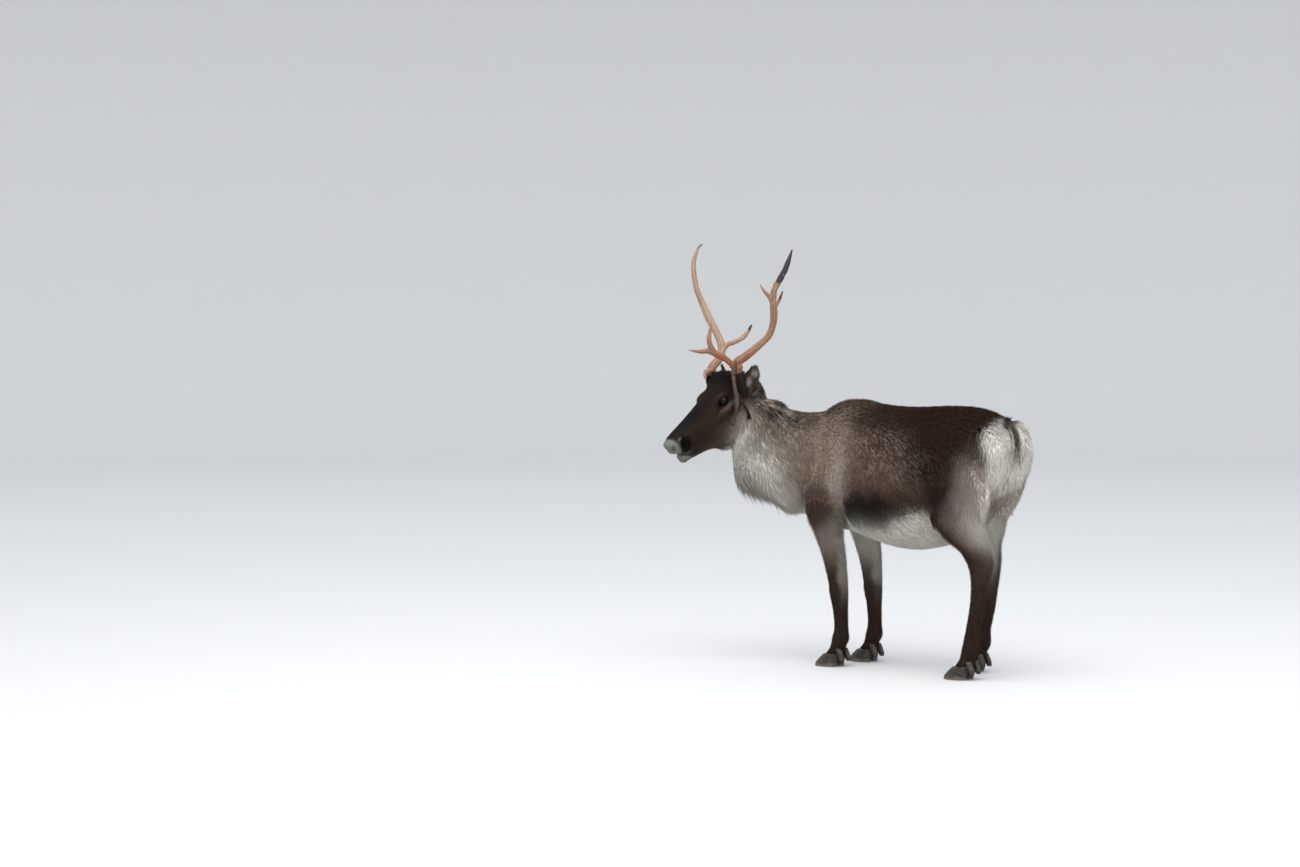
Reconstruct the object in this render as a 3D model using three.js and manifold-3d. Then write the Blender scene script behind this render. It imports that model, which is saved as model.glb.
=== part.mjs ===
// A standing reindeer in its winter coat, life size, with its head turned to its left and the last velvet
// hanging from its antlers. Millimetres. +X runs along the back towards the chest, +Y to the animal's left,
// +Z up, with the hooves on z = 0.
// The body is lofted through cross sections, joined into one mass and parted into head, neck, trunk and legs.

import * as THREE from 'three';
import { LoftGeometry } from 'three/addons/geometries/LoftGeometry.js';
import { mergeVertices } from 'three/addons/utils/BufferGeometryUtils.js';
import Module from 'manifold-3d';

const wasm = await Module();
wasm.setup();

// Driving dimensions
const GAP = 0.3; // air between neighbouring pieces
const HEAD_YAW = 72; // degrees that the head is turned to the left of the back's line
const HEAD_PITCH = -36; // degrees that the face's axis points down
const POLL = [649, 135, 1008]; // where the head's axis starts, between the ears
const EYE_RADIUS = 18;
const CORONET = 46; // height of the hoof's upper rim

const DEG = Math.PI / 180;

// The coat's and the horn's colours
const COAT = { back: 0x4a352b, neck: 0x9c8d7e, head: 0x3b2c26, leg: 0x43322a, rump: 0xd8d0c4, ear: 0x6b5d50 };
const furOf = (color) => new THREE.MeshStandardMaterial({ color, roughness: 0.95, metalness: 0 });
const HORN = new THREE.MeshStandardMaterial({ color: 0x1d1815, roughness: 0.5, metalness: 0 });
const ANTLER = new THREE.MeshStandardMaterial({ color: 0xa87450, roughness: 0.7, metalness: 0 });
const VELVET = new THREE.MeshStandardMaterial({ color: 0x6e5850, roughness: 0.9, metalness: 0 });
const EYE = new THREE.MeshStandardMaterial({ color: 0x0c0a0a, roughness: 0.08, metalness: 0 });

// A cross section's own axes: ahead along the loft, left across it, and up in its plane.
function axes(yaw, pitch) {
  const [cy, sy] = [Math.cos(yaw * DEG), Math.sin(yaw * DEG)];
  const [cp, sp] = [Math.cos(pitch * DEG), Math.sin(pitch * DEG)];
  return {
    ahead: new THREE.Vector3(cp * cy, cp * sy, sp),
    left: new THREE.Vector3(-sy, cy, 0),
    up: new THREE.Vector3(-sp * cy, -sp * sy, cp),
  };
}

// The row at u, from 0 at the first row to 1 at the last, on a Catmull-Rom curve through each column.
function rowAt(rows, u) {
  const last = rows.length - 1;
  const t = u * last;
  const i = Math.min(Math.floor(t), last - 1);
  const f = t - i;
  const [a, b, c, d] = [i - 1, i, i + 1, i + 2].map((k) => rows[Math.min(Math.max(k, 0), last)]);
  return b.map((q, k) => {
    const [slopeIn, slopeOut] = [(c[k] - a[k]) / 2, (d[k] - b[k]) / 2];
    const [f2, f3] = [f * f, f * f * f];
    const blend = 3 * f2 - 2 * f3;
    return q * (1 - blend) + c[k] * blend + slopeIn * (f3 - 2 * f2 + f) + slopeOut * (f3 - f2);
  });
}

// A closed loft through rows of x, y, z, yaw, pitch, half width, reach up and reach down.
// startDome and endDome are the lengths of its rounded ends, and grow thickens it all over.
function loft(rows, { around = 20, per = 2, startDome = 0, endDome = 0, grow = 0 } = {}) {
  const sections = [];
  const ring = (u, shift, shrink) => {
    const [x, y, z, yaw, pitch, wide, up, down] = rowAt(rows, u);
    const frame = axes(yaw, pitch);
    const centre = new THREE.Vector3(x, y, z).addScaledVector(frame.ahead, shift);
    return Array.from({ length: around }, (_, k) => {
      const angle = (k / around) * 2 * Math.PI;
      const [c, s] = [Math.cos(angle), Math.sin(angle)];
      return centre
        .clone()
        .addScaledVector(frame.left, (wide + grow) * shrink * c)
        .addScaledVector(frame.up, ((s > 0 ? up : down) + grow) * shrink * s);
    });
  };
  const domeAngles = [72, 38];
  for (const angle of startDome ? domeAngles : []) {
    sections.push(ring(0, -(startDome + grow) * Math.sin(angle * DEG), Math.cos(angle * DEG)));
  }
  const steps = (rows.length - 1) * per;
  for (let i = 0; i <= steps; i++) {
    const flatEnd = i === 0 && !startDome ? -grow : i === steps && !endDome ? grow : 0;
    sections.push(ring(i / steps, flatEnd, 1));
  }
  for (const angle of endDome ? [...domeAngles].reverse() : []) {
    sections.push(ring(1, (endDome + grow) * Math.sin(angle * DEG), Math.cos(angle * DEG)));
  }
  return new LoftGeometry(sections, { capStart: true, capEnd: true });
}

// A tapering round rod through points, for an antler's beam or tine. radii runs from its foot to its tip.
function rod(points, radii, { around = 7, steps = 9, flat = 1, grow = 0 } = {}) {
  const curve = new THREE.CatmullRomCurve3(points.map((p) => new THREE.Vector3(...p)));
  const frames = curve.computeFrenetFrames(steps, false);
  const sections = [];
  for (let i = 0; i <= steps; i++) {
    const u = i / steps;
    const r = rowAt(radii.map((q) => [q]), u)[0] + grow;
    const end = i === 0 ? -grow : i === steps ? grow : 0;
    const centre = curve.getPointAt(u).addScaledVector(frames.tangents[i], end);
    sections.push(
      Array.from({ length: around }, (_, k) => {
        const angle = (k / around) * 2 * Math.PI;
        return centre
          .clone()
          .addScaledVector(frames.normals[i], r * Math.cos(angle))
          .addScaledVector(frames.binormals[i], (r / flat) * Math.sin(angle));
      }),
    );
  }
  return new LoftGeometry(sections, { capStart: true, capEnd: true });
}

// An ellipsoid whose radii run ahead, left and up in axes turned by yaw and pitch.
function ball(at, [ahead, left, up], yaw = 0, pitch = 0, detail = 10) {
  const frame = axes(yaw, pitch);
  const turn = new THREE.Matrix4().makeBasis(frame.ahead, frame.left, frame.up).setPosition(...at);
  const round = new THREE.SphereGeometry(1, detail, Math.round(detail * 0.6));
  return round.scale(ahead, left, up).applyMatrix4(turn);
}

// A box whose end face is the plane through a point, reaching away from it along the yaw and pitch.
function beyond(at, yaw, pitch, [length, width, height], grow = 0) {
  const frame = axes(yaw, pitch);
  const turn = new THREE.Matrix4().makeBasis(frame.ahead, frame.left, frame.up).setPosition(...at);
  return new THREE.BoxGeometry(length + 2 * grow, width + 2 * grow, height + 2 * grow)
    .translate(length / 2, 0, 0)
    .applyMatrix4(turn);
}

// Turns a three.js geometry into a solid, with its doubled vertices merged and its empty faces dropped.
function solid(geometry) {
  const bare = new THREE.BufferGeometry().setAttribute('position', geometry.getAttribute('position'));
  if (geometry.index) bare.setIndex(geometry.index);
  const merged = mergeVertices(bare, 1e-3);
  const kept = [];
  for (let i = 0; i < merged.index.count; i += 3) {
    const [a, b, c] = [0, 1, 2].map((k) => merged.index.getX(i + k));
    if (a !== b && b !== c && c !== a) kept.push(a, b, c);
  }
  return new wasm.Manifold(
    new wasm.Mesh({
      numProp: 3,
      vertProperties: merged.attributes.position.array,
      triVerts: new Uint32Array(kept),
    }),
  );
}

const joined = (geometries) => geometries.map(solid).reduce((sum, one) => sum.add(one));

function geometryOf(manifold) {
  const mesh = manifold.getMesh();
  return new THREE.BufferGeometry()
    .setAttribute('position', new THREE.BufferAttribute(mesh.vertProperties, 3))
    .setIndex(new THREE.BufferAttribute(mesh.triVerts, 1));
}

// The piece of a solid that has the most volume, in case a cut leaves a crumb.
function largest(manifold) {
  return manifold.decompose().reduce((best, one) => (one.volume() > best.volume() ? one : best));
}

const reindeer = new THREE.Group();
function place(name, manifold, material) {
  const mesh = new THREE.Mesh(geometryOf(largest(manifold)), material);
  mesh.name = name;
  reindeer.add(mesh);
}

// Trunk: x, top, bottom and half width of upright slices from the rump to the chest.
const TRUNK = [
  [-396, 872, 690, 86],
  [-356, 906, 620, 136],
  [-270, 932, 520, 170],
  [-155, 936, 450, 190],
  [-40, 930, 424, 203],
  [60, 930, 428, 202],
  [150, 938, 446, 190],
  [230, 950, 464, 170],
  [300, 944, 472, 152],
  [370, 915, 482, 130],
];
const trunkRows = TRUNK.map(([x, top, bottom, wide]) => {
  const centre = top * 0.46 + bottom * 0.54;
  return [x, 0, centre, 0, 0, wide, top - centre, centre - bottom];
});

// Neck: centre, yaw, pitch, half width, reach up and down of its sections, chest to throat, mane included.
const NECK = [
  [330, 0, 705, 0, 4, 132, 215, 205],
  [400, 12, 706, 8, 8, 132, 203, 206],
  [466, 36, 717, 20, 12, 126, 188, 196],
  [540, 76, 752, 36, 20, 110, 164, 176],
  [598, 122, 806, 50, 26, 97, 140, 182],
  [628, 160, 868, 60, 26, 88, 104, 140],
  [642, 184, 916, 68, 14, 78, 76, 124],
];

// Head: distance from the poll along the face's axis, top, bottom and half width.
const HEAD = [
  [-12, 18, -84, 46],
  [20, 50, -136, 64],
  [66, 90, -158, 80],
  [108, 88, -156, 84],
  [156, 66, -140, 79],
  [210, 57, -124, 64],
  [270, 49, -96, 53],
  [330, 42, -72, 48],
  [364, 38, -58, 46],
  [388, 31, -49, 40],
];
const head = axes(HEAD_YAW, HEAD_PITCH);
// A point given along the face's axis, left of it and above it.
function onHead(along, left, up) {
  return new THREE.Vector3(...POLL)
    .addScaledVector(head.ahead, along)
    .addScaledVector(head.left, left)
    .addScaledVector(head.up, up)
    .toArray();
}
// Lower jaw, in the same measures.
const JAW = [
  [150, -60, -138, 44],
  [220, -50, -130, 42],
  [290, -40, -106, 36],
  [345, -36, -92, 33],
  [380, -32, -85, 28],
];
const facing = ([along, top, bottom, wide]) => {
  const middle = top * 0.6 + bottom * 0.4;
  return [...onHead(along, 0, middle), HEAD_YAW, HEAD_PITCH, wide, top - middle, middle - bottom];
};

// Legs: height, x of the centre, half depth, half width and y of the centre, of level slices.
const FORELEG = [
  [640, 330, 105, 56, 92],
  [560, 318, 86, 54, 98],
  [476, 298, 60, 43, 101],
  [385, 272, 47, 35, 100],
  [304, 257, 38, 32, 98],
  [262, 254, 36, 32, 97],
  [208, 248, 29, 27, 96],
  [143, 244, 26, 25, 95],
  [104, 246, 31, 30, 95],
  [74, 256, 27, 29, 95],
  [CORONET, 268, 33, 36, 95],
];
const HINDLEG = [
  [790, -282, 112, 56, 84],
  [700, -278, 120, 66, 96],
  [630, -268, 122, 70, 101],
  [566, -257, 116, 68, 107],
  [520, -280, 98, 60, 110],
  [480, -310, 82, 52, 112],
  [446, -340, 65, 44, 110],
  [405, -360, 54, 38, 108],
  [360, -361, 41, 33, 106],
  [300, -352, 31, 28, 104],
  [230, -341, 29, 26, 103],
  [153, -324, 28, 26, 102],
  [104, -318, 33, 30, 102],
  [74, -307, 28, 29, 102],
  [CORONET, -295, 33, 36, 102],
];
// How each leg stands: its table, its side, how far it is set ahead of the table below its knee or hock, and
// how much further ahead the hock itself is where the leg is held straighter.
const LEGS = {
  front_left: { rows: FORELEG, side: 1, stride: 0, straight: 0 },
  front_right: { rows: FORELEG, side: -1, stride: -6, straight: 0 },
  hind_left: { rows: HINDLEG, side: 1, stride: 0, straight: 0 },
  hind_right: { rows: HINDLEG, side: -1, stride: 96, straight: 30 },
};
// A leg swings from high in the body: a slice moves ahead by its share of the stride, and more round the
// hock.
const HOCK_HEIGHT = 430;
const HOCK_REACH = 80;
function strideAt({ stride, straight }, z) {
  const bent = ((z - HOCK_HEIGHT) / HOCK_REACH) ** 2;
  return stride * (1 - THREE.MathUtils.smoothstep(z, 380, 720)) + straight * Math.exp(-bent);
}
function legRows(leg) {
  return leg.rows.map(([z, x, deep, wide, y]) => {
    return [x + strideAt(leg, z), leg.side * y, z, 0, -90, wide, deep, deep];
  });
}

// Antler points are ahead of, left of and above the middle between the antlers' feet, in the head's level
// axes.
const ANTLER_MID = onHead(66, 0, 62);
function antlerPoint([ahead, left, up]) {
  const level = axes(HEAD_YAW, 0);
  return new THREE.Vector3(...ANTLER_MID)
    .addScaledVector(level.ahead, ahead)
    .addScaledVector(level.left, left)
    .addScaledVector(level.up, up)
    .toArray();
}
// The furred stalks that the antlers grow from.
const PEDICLES = {
  left: [[-26, 58, -58], [-18, 64, -16], [-10, 68, 22]],
  right: [[8, -56, -58], [12, -63, -16], [14, -68, 16]],
};

// Muscle and fur that round out the lofts, alike on both sides.
const bothSides = (make) => [make(1), make(-1)];
const onFace = (at, radii, detail) => ball(onHead(...at), radii, HEAD_YAW, HEAD_PITCH, detail);
const masses = [
  ...bothSides((side) => ball([322, side * 76, 640], [96, 68, 160], 0, 14)), // shoulder
  ...bothSides((side) => ball([-350, side * 80, 766], [84, 66, 122], 0, 10)), // buttock
  ...bothSides((side) => onFace([70, side * 34, -96], [74, 36, 44], 8)), // cheek
  ...bothSides((side) => onFace([146, side * 54, 22], [50, 26, 34])), // brow and lids
  ...bothSides((side) => onFace([368, side * 24, -6], [32, 26, 34], 8)), // nostril's wing
  ...Object.values(PEDICLES).map((path) => rod(path.map(antlerPoint), [31, 26, 20], { around: 8, steps: 2 })),
];

const parts = {
  trunk: (grow) => loft(trunkRows, { around: 18, per: 1, startDome: 34, endDome: 40, grow }),
  neck: (grow) => loft(NECK, { around: 16, per: 2, startDome: 20, endDome: 16, grow }),
  head: (grow) => loft(HEAD.map(facing), { around: 14, per: 1, startDome: 16, endDome: 24, grow }),
  jaw: (grow) => loft(JAW.map(facing), { around: 10, per: 1, endDome: 12, grow }),
};
const legLoft = (leg, grow) => loft(legRows(leg), { around: 12, per: 1, startDome: 30, grow });
const flesh = [
  ...Object.values(parts).map((make) => make(0)),
  ...Object.values(LEGS).map((leg) => legLoft(leg, 0)),
  ...masses,
];
const whole = joined(flesh);
// The same mass, thicker by the gap, which trims what is set on it.
const cleared = joined([
  ...Object.values(parts).map((make) => make(GAP)),
  ...Object.values(LEGS).map((leg) => legLoft(leg, GAP)),
  ...masses,
]);

// Where the body is parted: behind the poll, at the neck's root, and slanting up through each armpit and
// groin.
const headCut = (grow) => solid(beyond([628, 160, 900], 60, 18, [420, 460, 520], grow));
const neckCut = (grow) => solid(beyond([418, 14, 700], 14, 16, [700, 1100, 900], grow));
function legCut(leg, grow) {
  const fore = leg.rows === FORELEG;
  const [back, front, y, z, rise] = fore ? [190, 430, 52, 462, 34] : [-450, -128, 40, 474, 38];
  const [deep, wide, tall] = [front - back + 2 * grow, 494 + 2 * grow, 900];
  const middle = (front + back) / 2;
  const column = new THREE.BoxGeometry(deep, wide, tall).translate(middle, leg.side * 253, 440);
  const under = new THREE.BoxGeometry(1600, 1600, 1600)
    .translate(0, 0, grow - 800)
    .rotateX(leg.side * rise * DEG)
    .translate(0, leg.side * y, z);
  return solid(column).intersect(solid(under));
}

// Eyes: set deep in the sides of the head, facing out, a little ahead and up.
const EYE_AT = [149, 58, 22];
for (const [side, name] of [[1, 'eye_left'], [-1, 'eye_right']]) {
  const at = onHead(EYE_AT[0], side * EYE_AT[1], EYE_AT[2]);
  place(name, solid(ball(at, [EYE_RADIUS, EYE_RADIUS, EYE_RADIUS])), EYE);
}
const socket = EYE_RADIUS + GAP;
const eyeSockets = joined([
  ...bothSides((side) => ball(onHead(EYE_AT[0], side * EYE_AT[1], EYE_AT[2]), [socket, socket, socket])),
  // the opening between the lids
  ...bothSides((side) => {
    const [along, left, up] = EYE_AT;
    const outside = onHead(along + 9, side * (left + 19), up);
    return ball(outside, [19, 16, 15], HEAD_YAW - side * 28, HEAD_PITCH + 8, 8);
  }),
]);

const nostrils = joined(bothSides((side) => onFace([380, side * 42, -10], [13, 13, 22], 8)));
place('head', whole.intersect(headCut(0)).subtract(eyeSockets).subtract(nostrils), furOf(COAT.head));
place('neck', whole.intersect(neckCut(0)).subtract(headCut(GAP)), furOf(COAT.neck));
place(
  'trunk',
  Object.values(LEGS).reduce((rest, leg) => rest.subtract(legCut(leg, GAP)), whole.subtract(neckCut(GAP))),
  furOf(COAT.back),
);
for (const [name, leg] of Object.entries(LEGS)) {
  place('leg_' + name, whole.intersect(legCut(leg, 0)), furOf(COAT.leg));
}

// Tail: a short flap that hangs down over the rump.
const TAIL = [
  [-380, 2, 886, 0, -138, 24, 16, 24],
  [-412, 8, 874, 0, -134, 31, 20, 26],
  [-438, 14, 848, 0, -112, 34, 22, 26],
  [-452, 18, 814, 0, -96, 33, 21, 24],
  [-454, 20, 778, 0, -86, 27, 17, 20],
  [-450, 20, 754, 0, -80, 17, 11, 13],
];
place('tail', solid(loft(TAIL, { around: 10, per: 1, endDome: 12 })).subtract(cleared), furOf(COAT.rump));

// Ears: cupped leaves that stand up and out behind the antlers, open to the front and side.
const EAR_LENGTH = 102;
const EAR_FOOT = [60, 64, -10];
const LEAF = [
  [-0.12, 15],
  [0, 19],
  [0.18, 25],
  [0.42, 30],
  [0.66, 28],
  [0.86, 18],
  [0.97, 8],
];
// The leaf upright, its opening towards +X, with its outline shrunk to make the hollow.
function leaf(rows, shrink, thick) {
  return rows.map(([u, wide]) => {
    const deep = thick * (1 - 0.4 * u);
    return [0, 0, u * EAR_LENGTH, 0, 90, wide * shrink, deep, deep];
  });
}
for (const [side, name] of [[1, 'ear_left'], [-1, 'ear_right']]) {
  const level = axes(HEAD_YAW, 0);
  const along = new THREE.Vector3()
    .addScaledVector(level.left, side * 0.45)
    .addScaledVector(level.ahead, -0.12)
    .addScaledVector(level.up, 0.9)
    .normalize();
  const across = along.clone().cross(axes(HEAD_YAW + side * 52, 0).ahead).normalize();
  const stand = new THREE.Matrix4()
    .makeBasis(across.clone().cross(along), across, along)
    .setPosition(...onHead(EAR_FOOT[0], side * EAR_FOOT[1], EAR_FOOT[2]));
  const outer = solid(loft(leaf(LEAF, 1, 15), { around: 10, per: 1, endDome: 7 }).applyMatrix4(stand));
  const hollow = loft(leaf(LEAF.slice(1, 6), 0.78, 13), { around: 8, per: 1, startDome: 8, endDome: 8 });
  const cup = solid(hollow.translate(9, 0, 0).applyMatrix4(stand));
  place(name, outer.subtract(cup).subtract(cleared), furOf(COAT.ear));
}

// Antlers, each branch a path and the radii along it. A branch is trimmed by the ones before it.
const ANTLERS = {
  left: {
    beam: {
      path: [
        [-11, 67, 10], [-10, 68, 36], [-10, 69, 56], [-40, 84, 80],
        [-76, 120, 121], [-94, 148, 154], [-96, 174, 212], [-76, 198, 270],
      ],
      radii: [17, 16, 15, 13, 12.5, 12, 13.5, 12],
      steps: 14,
    },
    brow: {
      path: [[-2, 61, 34], [24, 56, 62], [62, 46, 84], [94, 41, 96], [128, 35, 94], [171, 27, 100]],
      radii: [11, 11, 13, 10, 7, 2.5],
      steps: 8,
    },
    brow_upper: {
      path: [[70, 44, 88], [90, 47, 114], [99, 52, 146], [91, 58, 199]],
      radii: [11, 10, 7, 2.5],
      steps: 6,
    },
    crown: {
      path: [[-79, 196, 262], [-73, 210, 310], [-85, 226, 346], [-104, 242, 396], [-125, 248, 458]],
      radii: [12, 12, 11, 9, 2.5],
      flat: 1.4,
      steps: 9,
    },
    crown_front: {
      path: [[-80, 197, 258], [-60, 200, 289], [-36, 202, 309], [-18, 203, 333]],
      radii: [10, 8.5, 6, 2.5],
      steps: 5,
    },
    crown_back: { path: [[-84, 190, 244], [-100, 201, 276], [-111, 208, 309]], radii: [8, 6, 2.5], steps: 4 },
    velvet: {
      material: VELVET,
      path: [
        [4, 82, 58], [20, 90, 30], [20, 95, -20], [14, 99, -66],
        [15, 100, -104], [20, 100, -140], [30, 99, -168],
      ],
      radii: [11, 11, 5.5, 10, 11, 8.5, 6],
      flat: 3,
    },
    velvet_fork: {
      material: VELVET,
      path: [[16, 98, -50], [-4, 100, -76], [-22, 100, -103], [-36, 99, -123], [-43, 98, -146]],
      radii: [5, 8, 9, 9, 8],
      flat: 3,
      steps: 7,
    },
  },
  right: {
    beam: {
      path: [
        [15, -68, -4], [14, -69, 18], [8, -70, 36], [-34, -82, 74],
        [-53, -104, 108], [-53, -134, 152], [-42, -166, 203], [-28, -200, 270],
      ],
      radii: [17, 16, 15, 14, 13.5, 14, 14, 12],
      steps: 14,
    },
    crown: {
      path: [
        [-30, -194, 258], [-20, -216, 305], [-17, -234, 360],
        [-22, -246, 415], [-42, -248, 463], [-58, -244, 480],
      ],
      radii: [12, 10, 9.5, 9, 7, 3],
      steps: 10,
    },
    back: {
      path: [[-44, -92, 88], [-74, -100, 114], [-110, -103, 124], [-154, -106, 146], [-184, -106, 186]],
      radii: [11, 9.5, 9, 8, 2.5],
      steps: 8,
    },
    brow: {
      path: [[22, -61, 18], [37, -60, 22], [47, -58, 8], [44, -56, -8]],
      radii: [10, 8.5, 7, 4],
      steps: 5,
    },
  },
};
for (const [side, branches] of Object.entries(ANTLERS)) {
  const made = Object.entries(branches).map(([branch, { path, radii, material = ANTLER, ...rest }]) => ({
    name: `antler_${side}_${branch}`,
    material,
    make: (grow) => solid(rod(path.map(antlerPoint), radii, { ...rest, grow })),
  }));
  made.forEach(({ name, material, make }, i) => {
    const clear = make(0).subtract(cleared);
    place(name, made.slice(0, i).reduce((rest, one) => rest.subtract(one.make(GAP)), clear), material);
  });
}

// Hooves: two splayed claws under each foot, and two dewclaws behind it.
const CLAW = [
  [0, 26, 44, 22],
  [14, 24, 43, 22.5],
  [30, 14, 37, 21],
  [CORONET - GAP, 2, 28, 18],
];
const DEWCLAW = [
  [20, -40, 11, 9],
  [40, -35, 14, 11],
  [66, -24, 12, 10],
];
for (const [name, leg] of Object.entries(LEGS)) {
  const [, footX, , , footY] = leg.rows[leg.rows.length - 1];
  const x = footX + leg.stride;
  for (const [half, word] of [[1, 'outer'], [-1, 'inner']]) {
    const out = leg.side * half;
    const splay = out * 7;
    const sliceRows = (table, apart) =>
      table
        .map(([z, ahead, deep, wide]) => {
          return [x + ahead, leg.side * footY + out * apart, z, splay, -90, wide, deep, deep];
        })
        .reverse();
    const claw = solid(loft(sliceRows(CLAW, 24), { around: 10, per: 1 }));
    const dewclaw = solid(loft(sliceRows(DEWCLAW, 19), { around: 6, per: 1, endDome: 8 }));
    place(`hoof_${name}_${word}`, claw, HORN);
    place(`dewclaw_${name}_${word}`, dewclaw.subtract(cleared).subtract(claw), HORN);
  }
}

// The origin is under the middle of the bounding box, on the ground.
const bounds = new THREE.Box3().setFromObject(reindeer);
reindeer.position.set(-(bounds.min.x + bounds.max.x) / 2, -(bounds.min.y + bounds.max.y) / 2, -bounds.min.z);

export default reindeer;
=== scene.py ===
import bpy
import numpy as np
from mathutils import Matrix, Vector


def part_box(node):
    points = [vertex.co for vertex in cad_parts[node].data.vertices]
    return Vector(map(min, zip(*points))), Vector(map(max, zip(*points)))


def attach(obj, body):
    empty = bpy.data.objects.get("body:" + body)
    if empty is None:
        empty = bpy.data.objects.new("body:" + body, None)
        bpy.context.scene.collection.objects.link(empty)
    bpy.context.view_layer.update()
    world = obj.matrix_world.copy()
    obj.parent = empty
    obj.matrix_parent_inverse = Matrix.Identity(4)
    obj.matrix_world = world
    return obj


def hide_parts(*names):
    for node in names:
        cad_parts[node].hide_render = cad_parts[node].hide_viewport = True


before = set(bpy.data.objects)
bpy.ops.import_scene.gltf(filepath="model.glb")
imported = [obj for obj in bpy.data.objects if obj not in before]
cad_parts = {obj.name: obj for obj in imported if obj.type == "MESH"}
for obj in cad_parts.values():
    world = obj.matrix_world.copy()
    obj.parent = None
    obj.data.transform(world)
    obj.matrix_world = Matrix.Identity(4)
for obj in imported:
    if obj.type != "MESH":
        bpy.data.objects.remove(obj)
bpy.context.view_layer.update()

# Skin: one unbroken hide over the whole animal, drawn as tubes through cross sections, in millimetres, as a
# Taxidermist carves a form. They lie under the outline by the coat's depth and are joined and smoothed into
# One mass, on which the face and legs are then sculpted.
HEAD_YAW = 72.0
HEAD_PITCH = -36.0
POLL = np.array([649.0, 135.0, 1008.0])
EYE_PLACE = (149.0, 58.0, 22.0)
EYE_RADIUS = 18.0
CORONET = 46.0

# X, top, bottom and half width of upright slices of the trunk, from the rump to the chest
TRUNK = [
    [-396, 872, 690, 86],
    [-356, 906, 620, 136],
    [-270, 932, 520, 170],
    [-155, 936, 450, 190],
    [-40, 930, 424, 203],
    [60, 930, 428, 202],
    [150, 938, 446, 190],
    [230, 950, 464, 170],
    [300, 944, 472, 152],
    [370, 915, 482, 130],
]
# Centre, yaw, pitch, half width, reach up and reach down of the neck's sections, from the chest to the throat
NECK = [
    [330, 0, 705, 0, 4, 132, 215, 205],
    [400, 12, 706, 8, 8, 132, 203, 206],
    [466, 36, 717, 20, 12, 126, 188, 196],
    [540, 76, 752, 36, 20, 110, 164, 176],
    [598, 122, 806, 50, 26, 97, 140, 182],
    [628, 160, 868, 60, 26, 88, 104, 140],
    [642, 184, 916, 68, 14, 78, 76, 124],
]
# Distance from the poll along the face, top, bottom and half width of the skull and of the lower jaw
HEAD = [
    [-12, 18, -84, 46],
    [20, 50, -136, 64],
    [66, 90, -158, 80],
    [108, 88, -156, 84],
    [156, 66, -140, 79],
    [210, 57, -124, 64],
    [270, 49, -96, 53],
    [330, 42, -72, 48],
    [364, 38, -58, 46],
    [388, 31, -49, 40],
]
JAW = [
    [150, -60, -138, 44],
    [220, -50, -130, 42],
    [290, -40, -106, 36],
    [345, -36, -92, 33],
    [380, -32, -85, 28],
]
# Height, x, half depth, half width and distance from the middle plane of level slices of a leg
FORELEG = [
    [640, 330, 105, 56, 92],
    [560, 318, 86, 54, 98],
    [476, 298, 60, 43, 101],
    [385, 272, 47, 35, 100],
    [304, 257, 38, 32, 98],
    [262, 254, 36, 32, 97],
    [208, 248, 29, 27, 96],
    [143, 244, 26, 25, 95],
    [104, 246, 31, 30, 95],
    [74, 256, 27, 29, 95],
    [CORONET, 268, 33, 36, 95],
]
HINDLEG = [
    [790, -282, 112, 56, 84],
    [700, -278, 120, 66, 96],
    [630, -268, 122, 70, 101],
    [566, -257, 116, 68, 107],
    [520, -280, 98, 60, 110],
    [480, -310, 82, 52, 112],
    [446, -340, 65, 44, 110],
    [405, -360, 54, 38, 108],
    [360, -361, 41, 33, 106],
    [300, -352, 31, 28, 104],
    [230, -341, 29, 26, 103],
    [153, -324, 28, 26, 102],
    [104, -318, 33, 30, 102],
    [74, -307, 28, 29, 102],
    [CORONET, -295, 33, 36, 102],
]
# Each leg's slices, its side, its stride ahead and how much further ahead a straighter hock is
LEGS = {
    "front_left": (FORELEG, 1, 0, 0),
    "front_right": (FORELEG, -1, -6, 0),
    "hind_left": (HINDLEG, 1, 0, 0),
    "hind_right": (HINDLEG, -1, 96, 30),
}
HOCK_HEIGHT = 430
HOCK_REACH = 80
# The stride grows from nothing at the top of a leg to its whole below, between these heights
SWING_LOW = 380
SWING_HIGH = 720
TAIL = [
    [-380, 2, 886, 0, -138, 24, 16, 24],
    [-412, 8, 874, 0, -134, 31, 20, 26],
    [-438, 14, 848, 0, -112, 34, 22, 26],
    [-452, 18, 814, 0, -96, 33, 21, 24],
    [-454, 20, 778, 0, -86, 27, 17, 20],
    [-450, 20, 754, 0, -80, 17, 11, 13],
]


def axes(yaw, pitch):
    """The ahead, left and up directions of something turned by yaw about the upright and then by pitch."""
    yaw, pitch = np.radians(yaw), np.radians(pitch)
    ahead = np.stack([np.cos(pitch) * np.cos(yaw), np.cos(pitch) * np.sin(yaw), np.sin(pitch)], -1)
    left = np.stack([-np.sin(yaw), np.cos(yaw), np.zeros_like(yaw)], -1)
    return ahead, left, np.cross(ahead, left)


face_ahead, face_left, face_up = axes(np.array(HEAD_YAW), np.array(HEAD_PITCH))


def on_head(along, left, up):
    """The point that lies along the face's axis from the poll, left of it and above it."""
    point = POLL
    for amount, way in ((along, face_ahead), (left, face_left), (up, face_up)):
        point = point + np.multiply.outer(amount, way)
    return point


# The drawing's middle is found from the left eye's place in the frame.
eye_low, eye_high = (np.array(corner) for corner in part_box("eye_left"))
DRAWING_MIDDLE = on_head(*EYE_PLACE) - (eye_low + eye_high) * 500.0


def placed(points):
    """Millimetres of the drawing, made metres in the frame."""
    return (np.asarray(points) - DRAWING_MIDDLE) * 0.001


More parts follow.
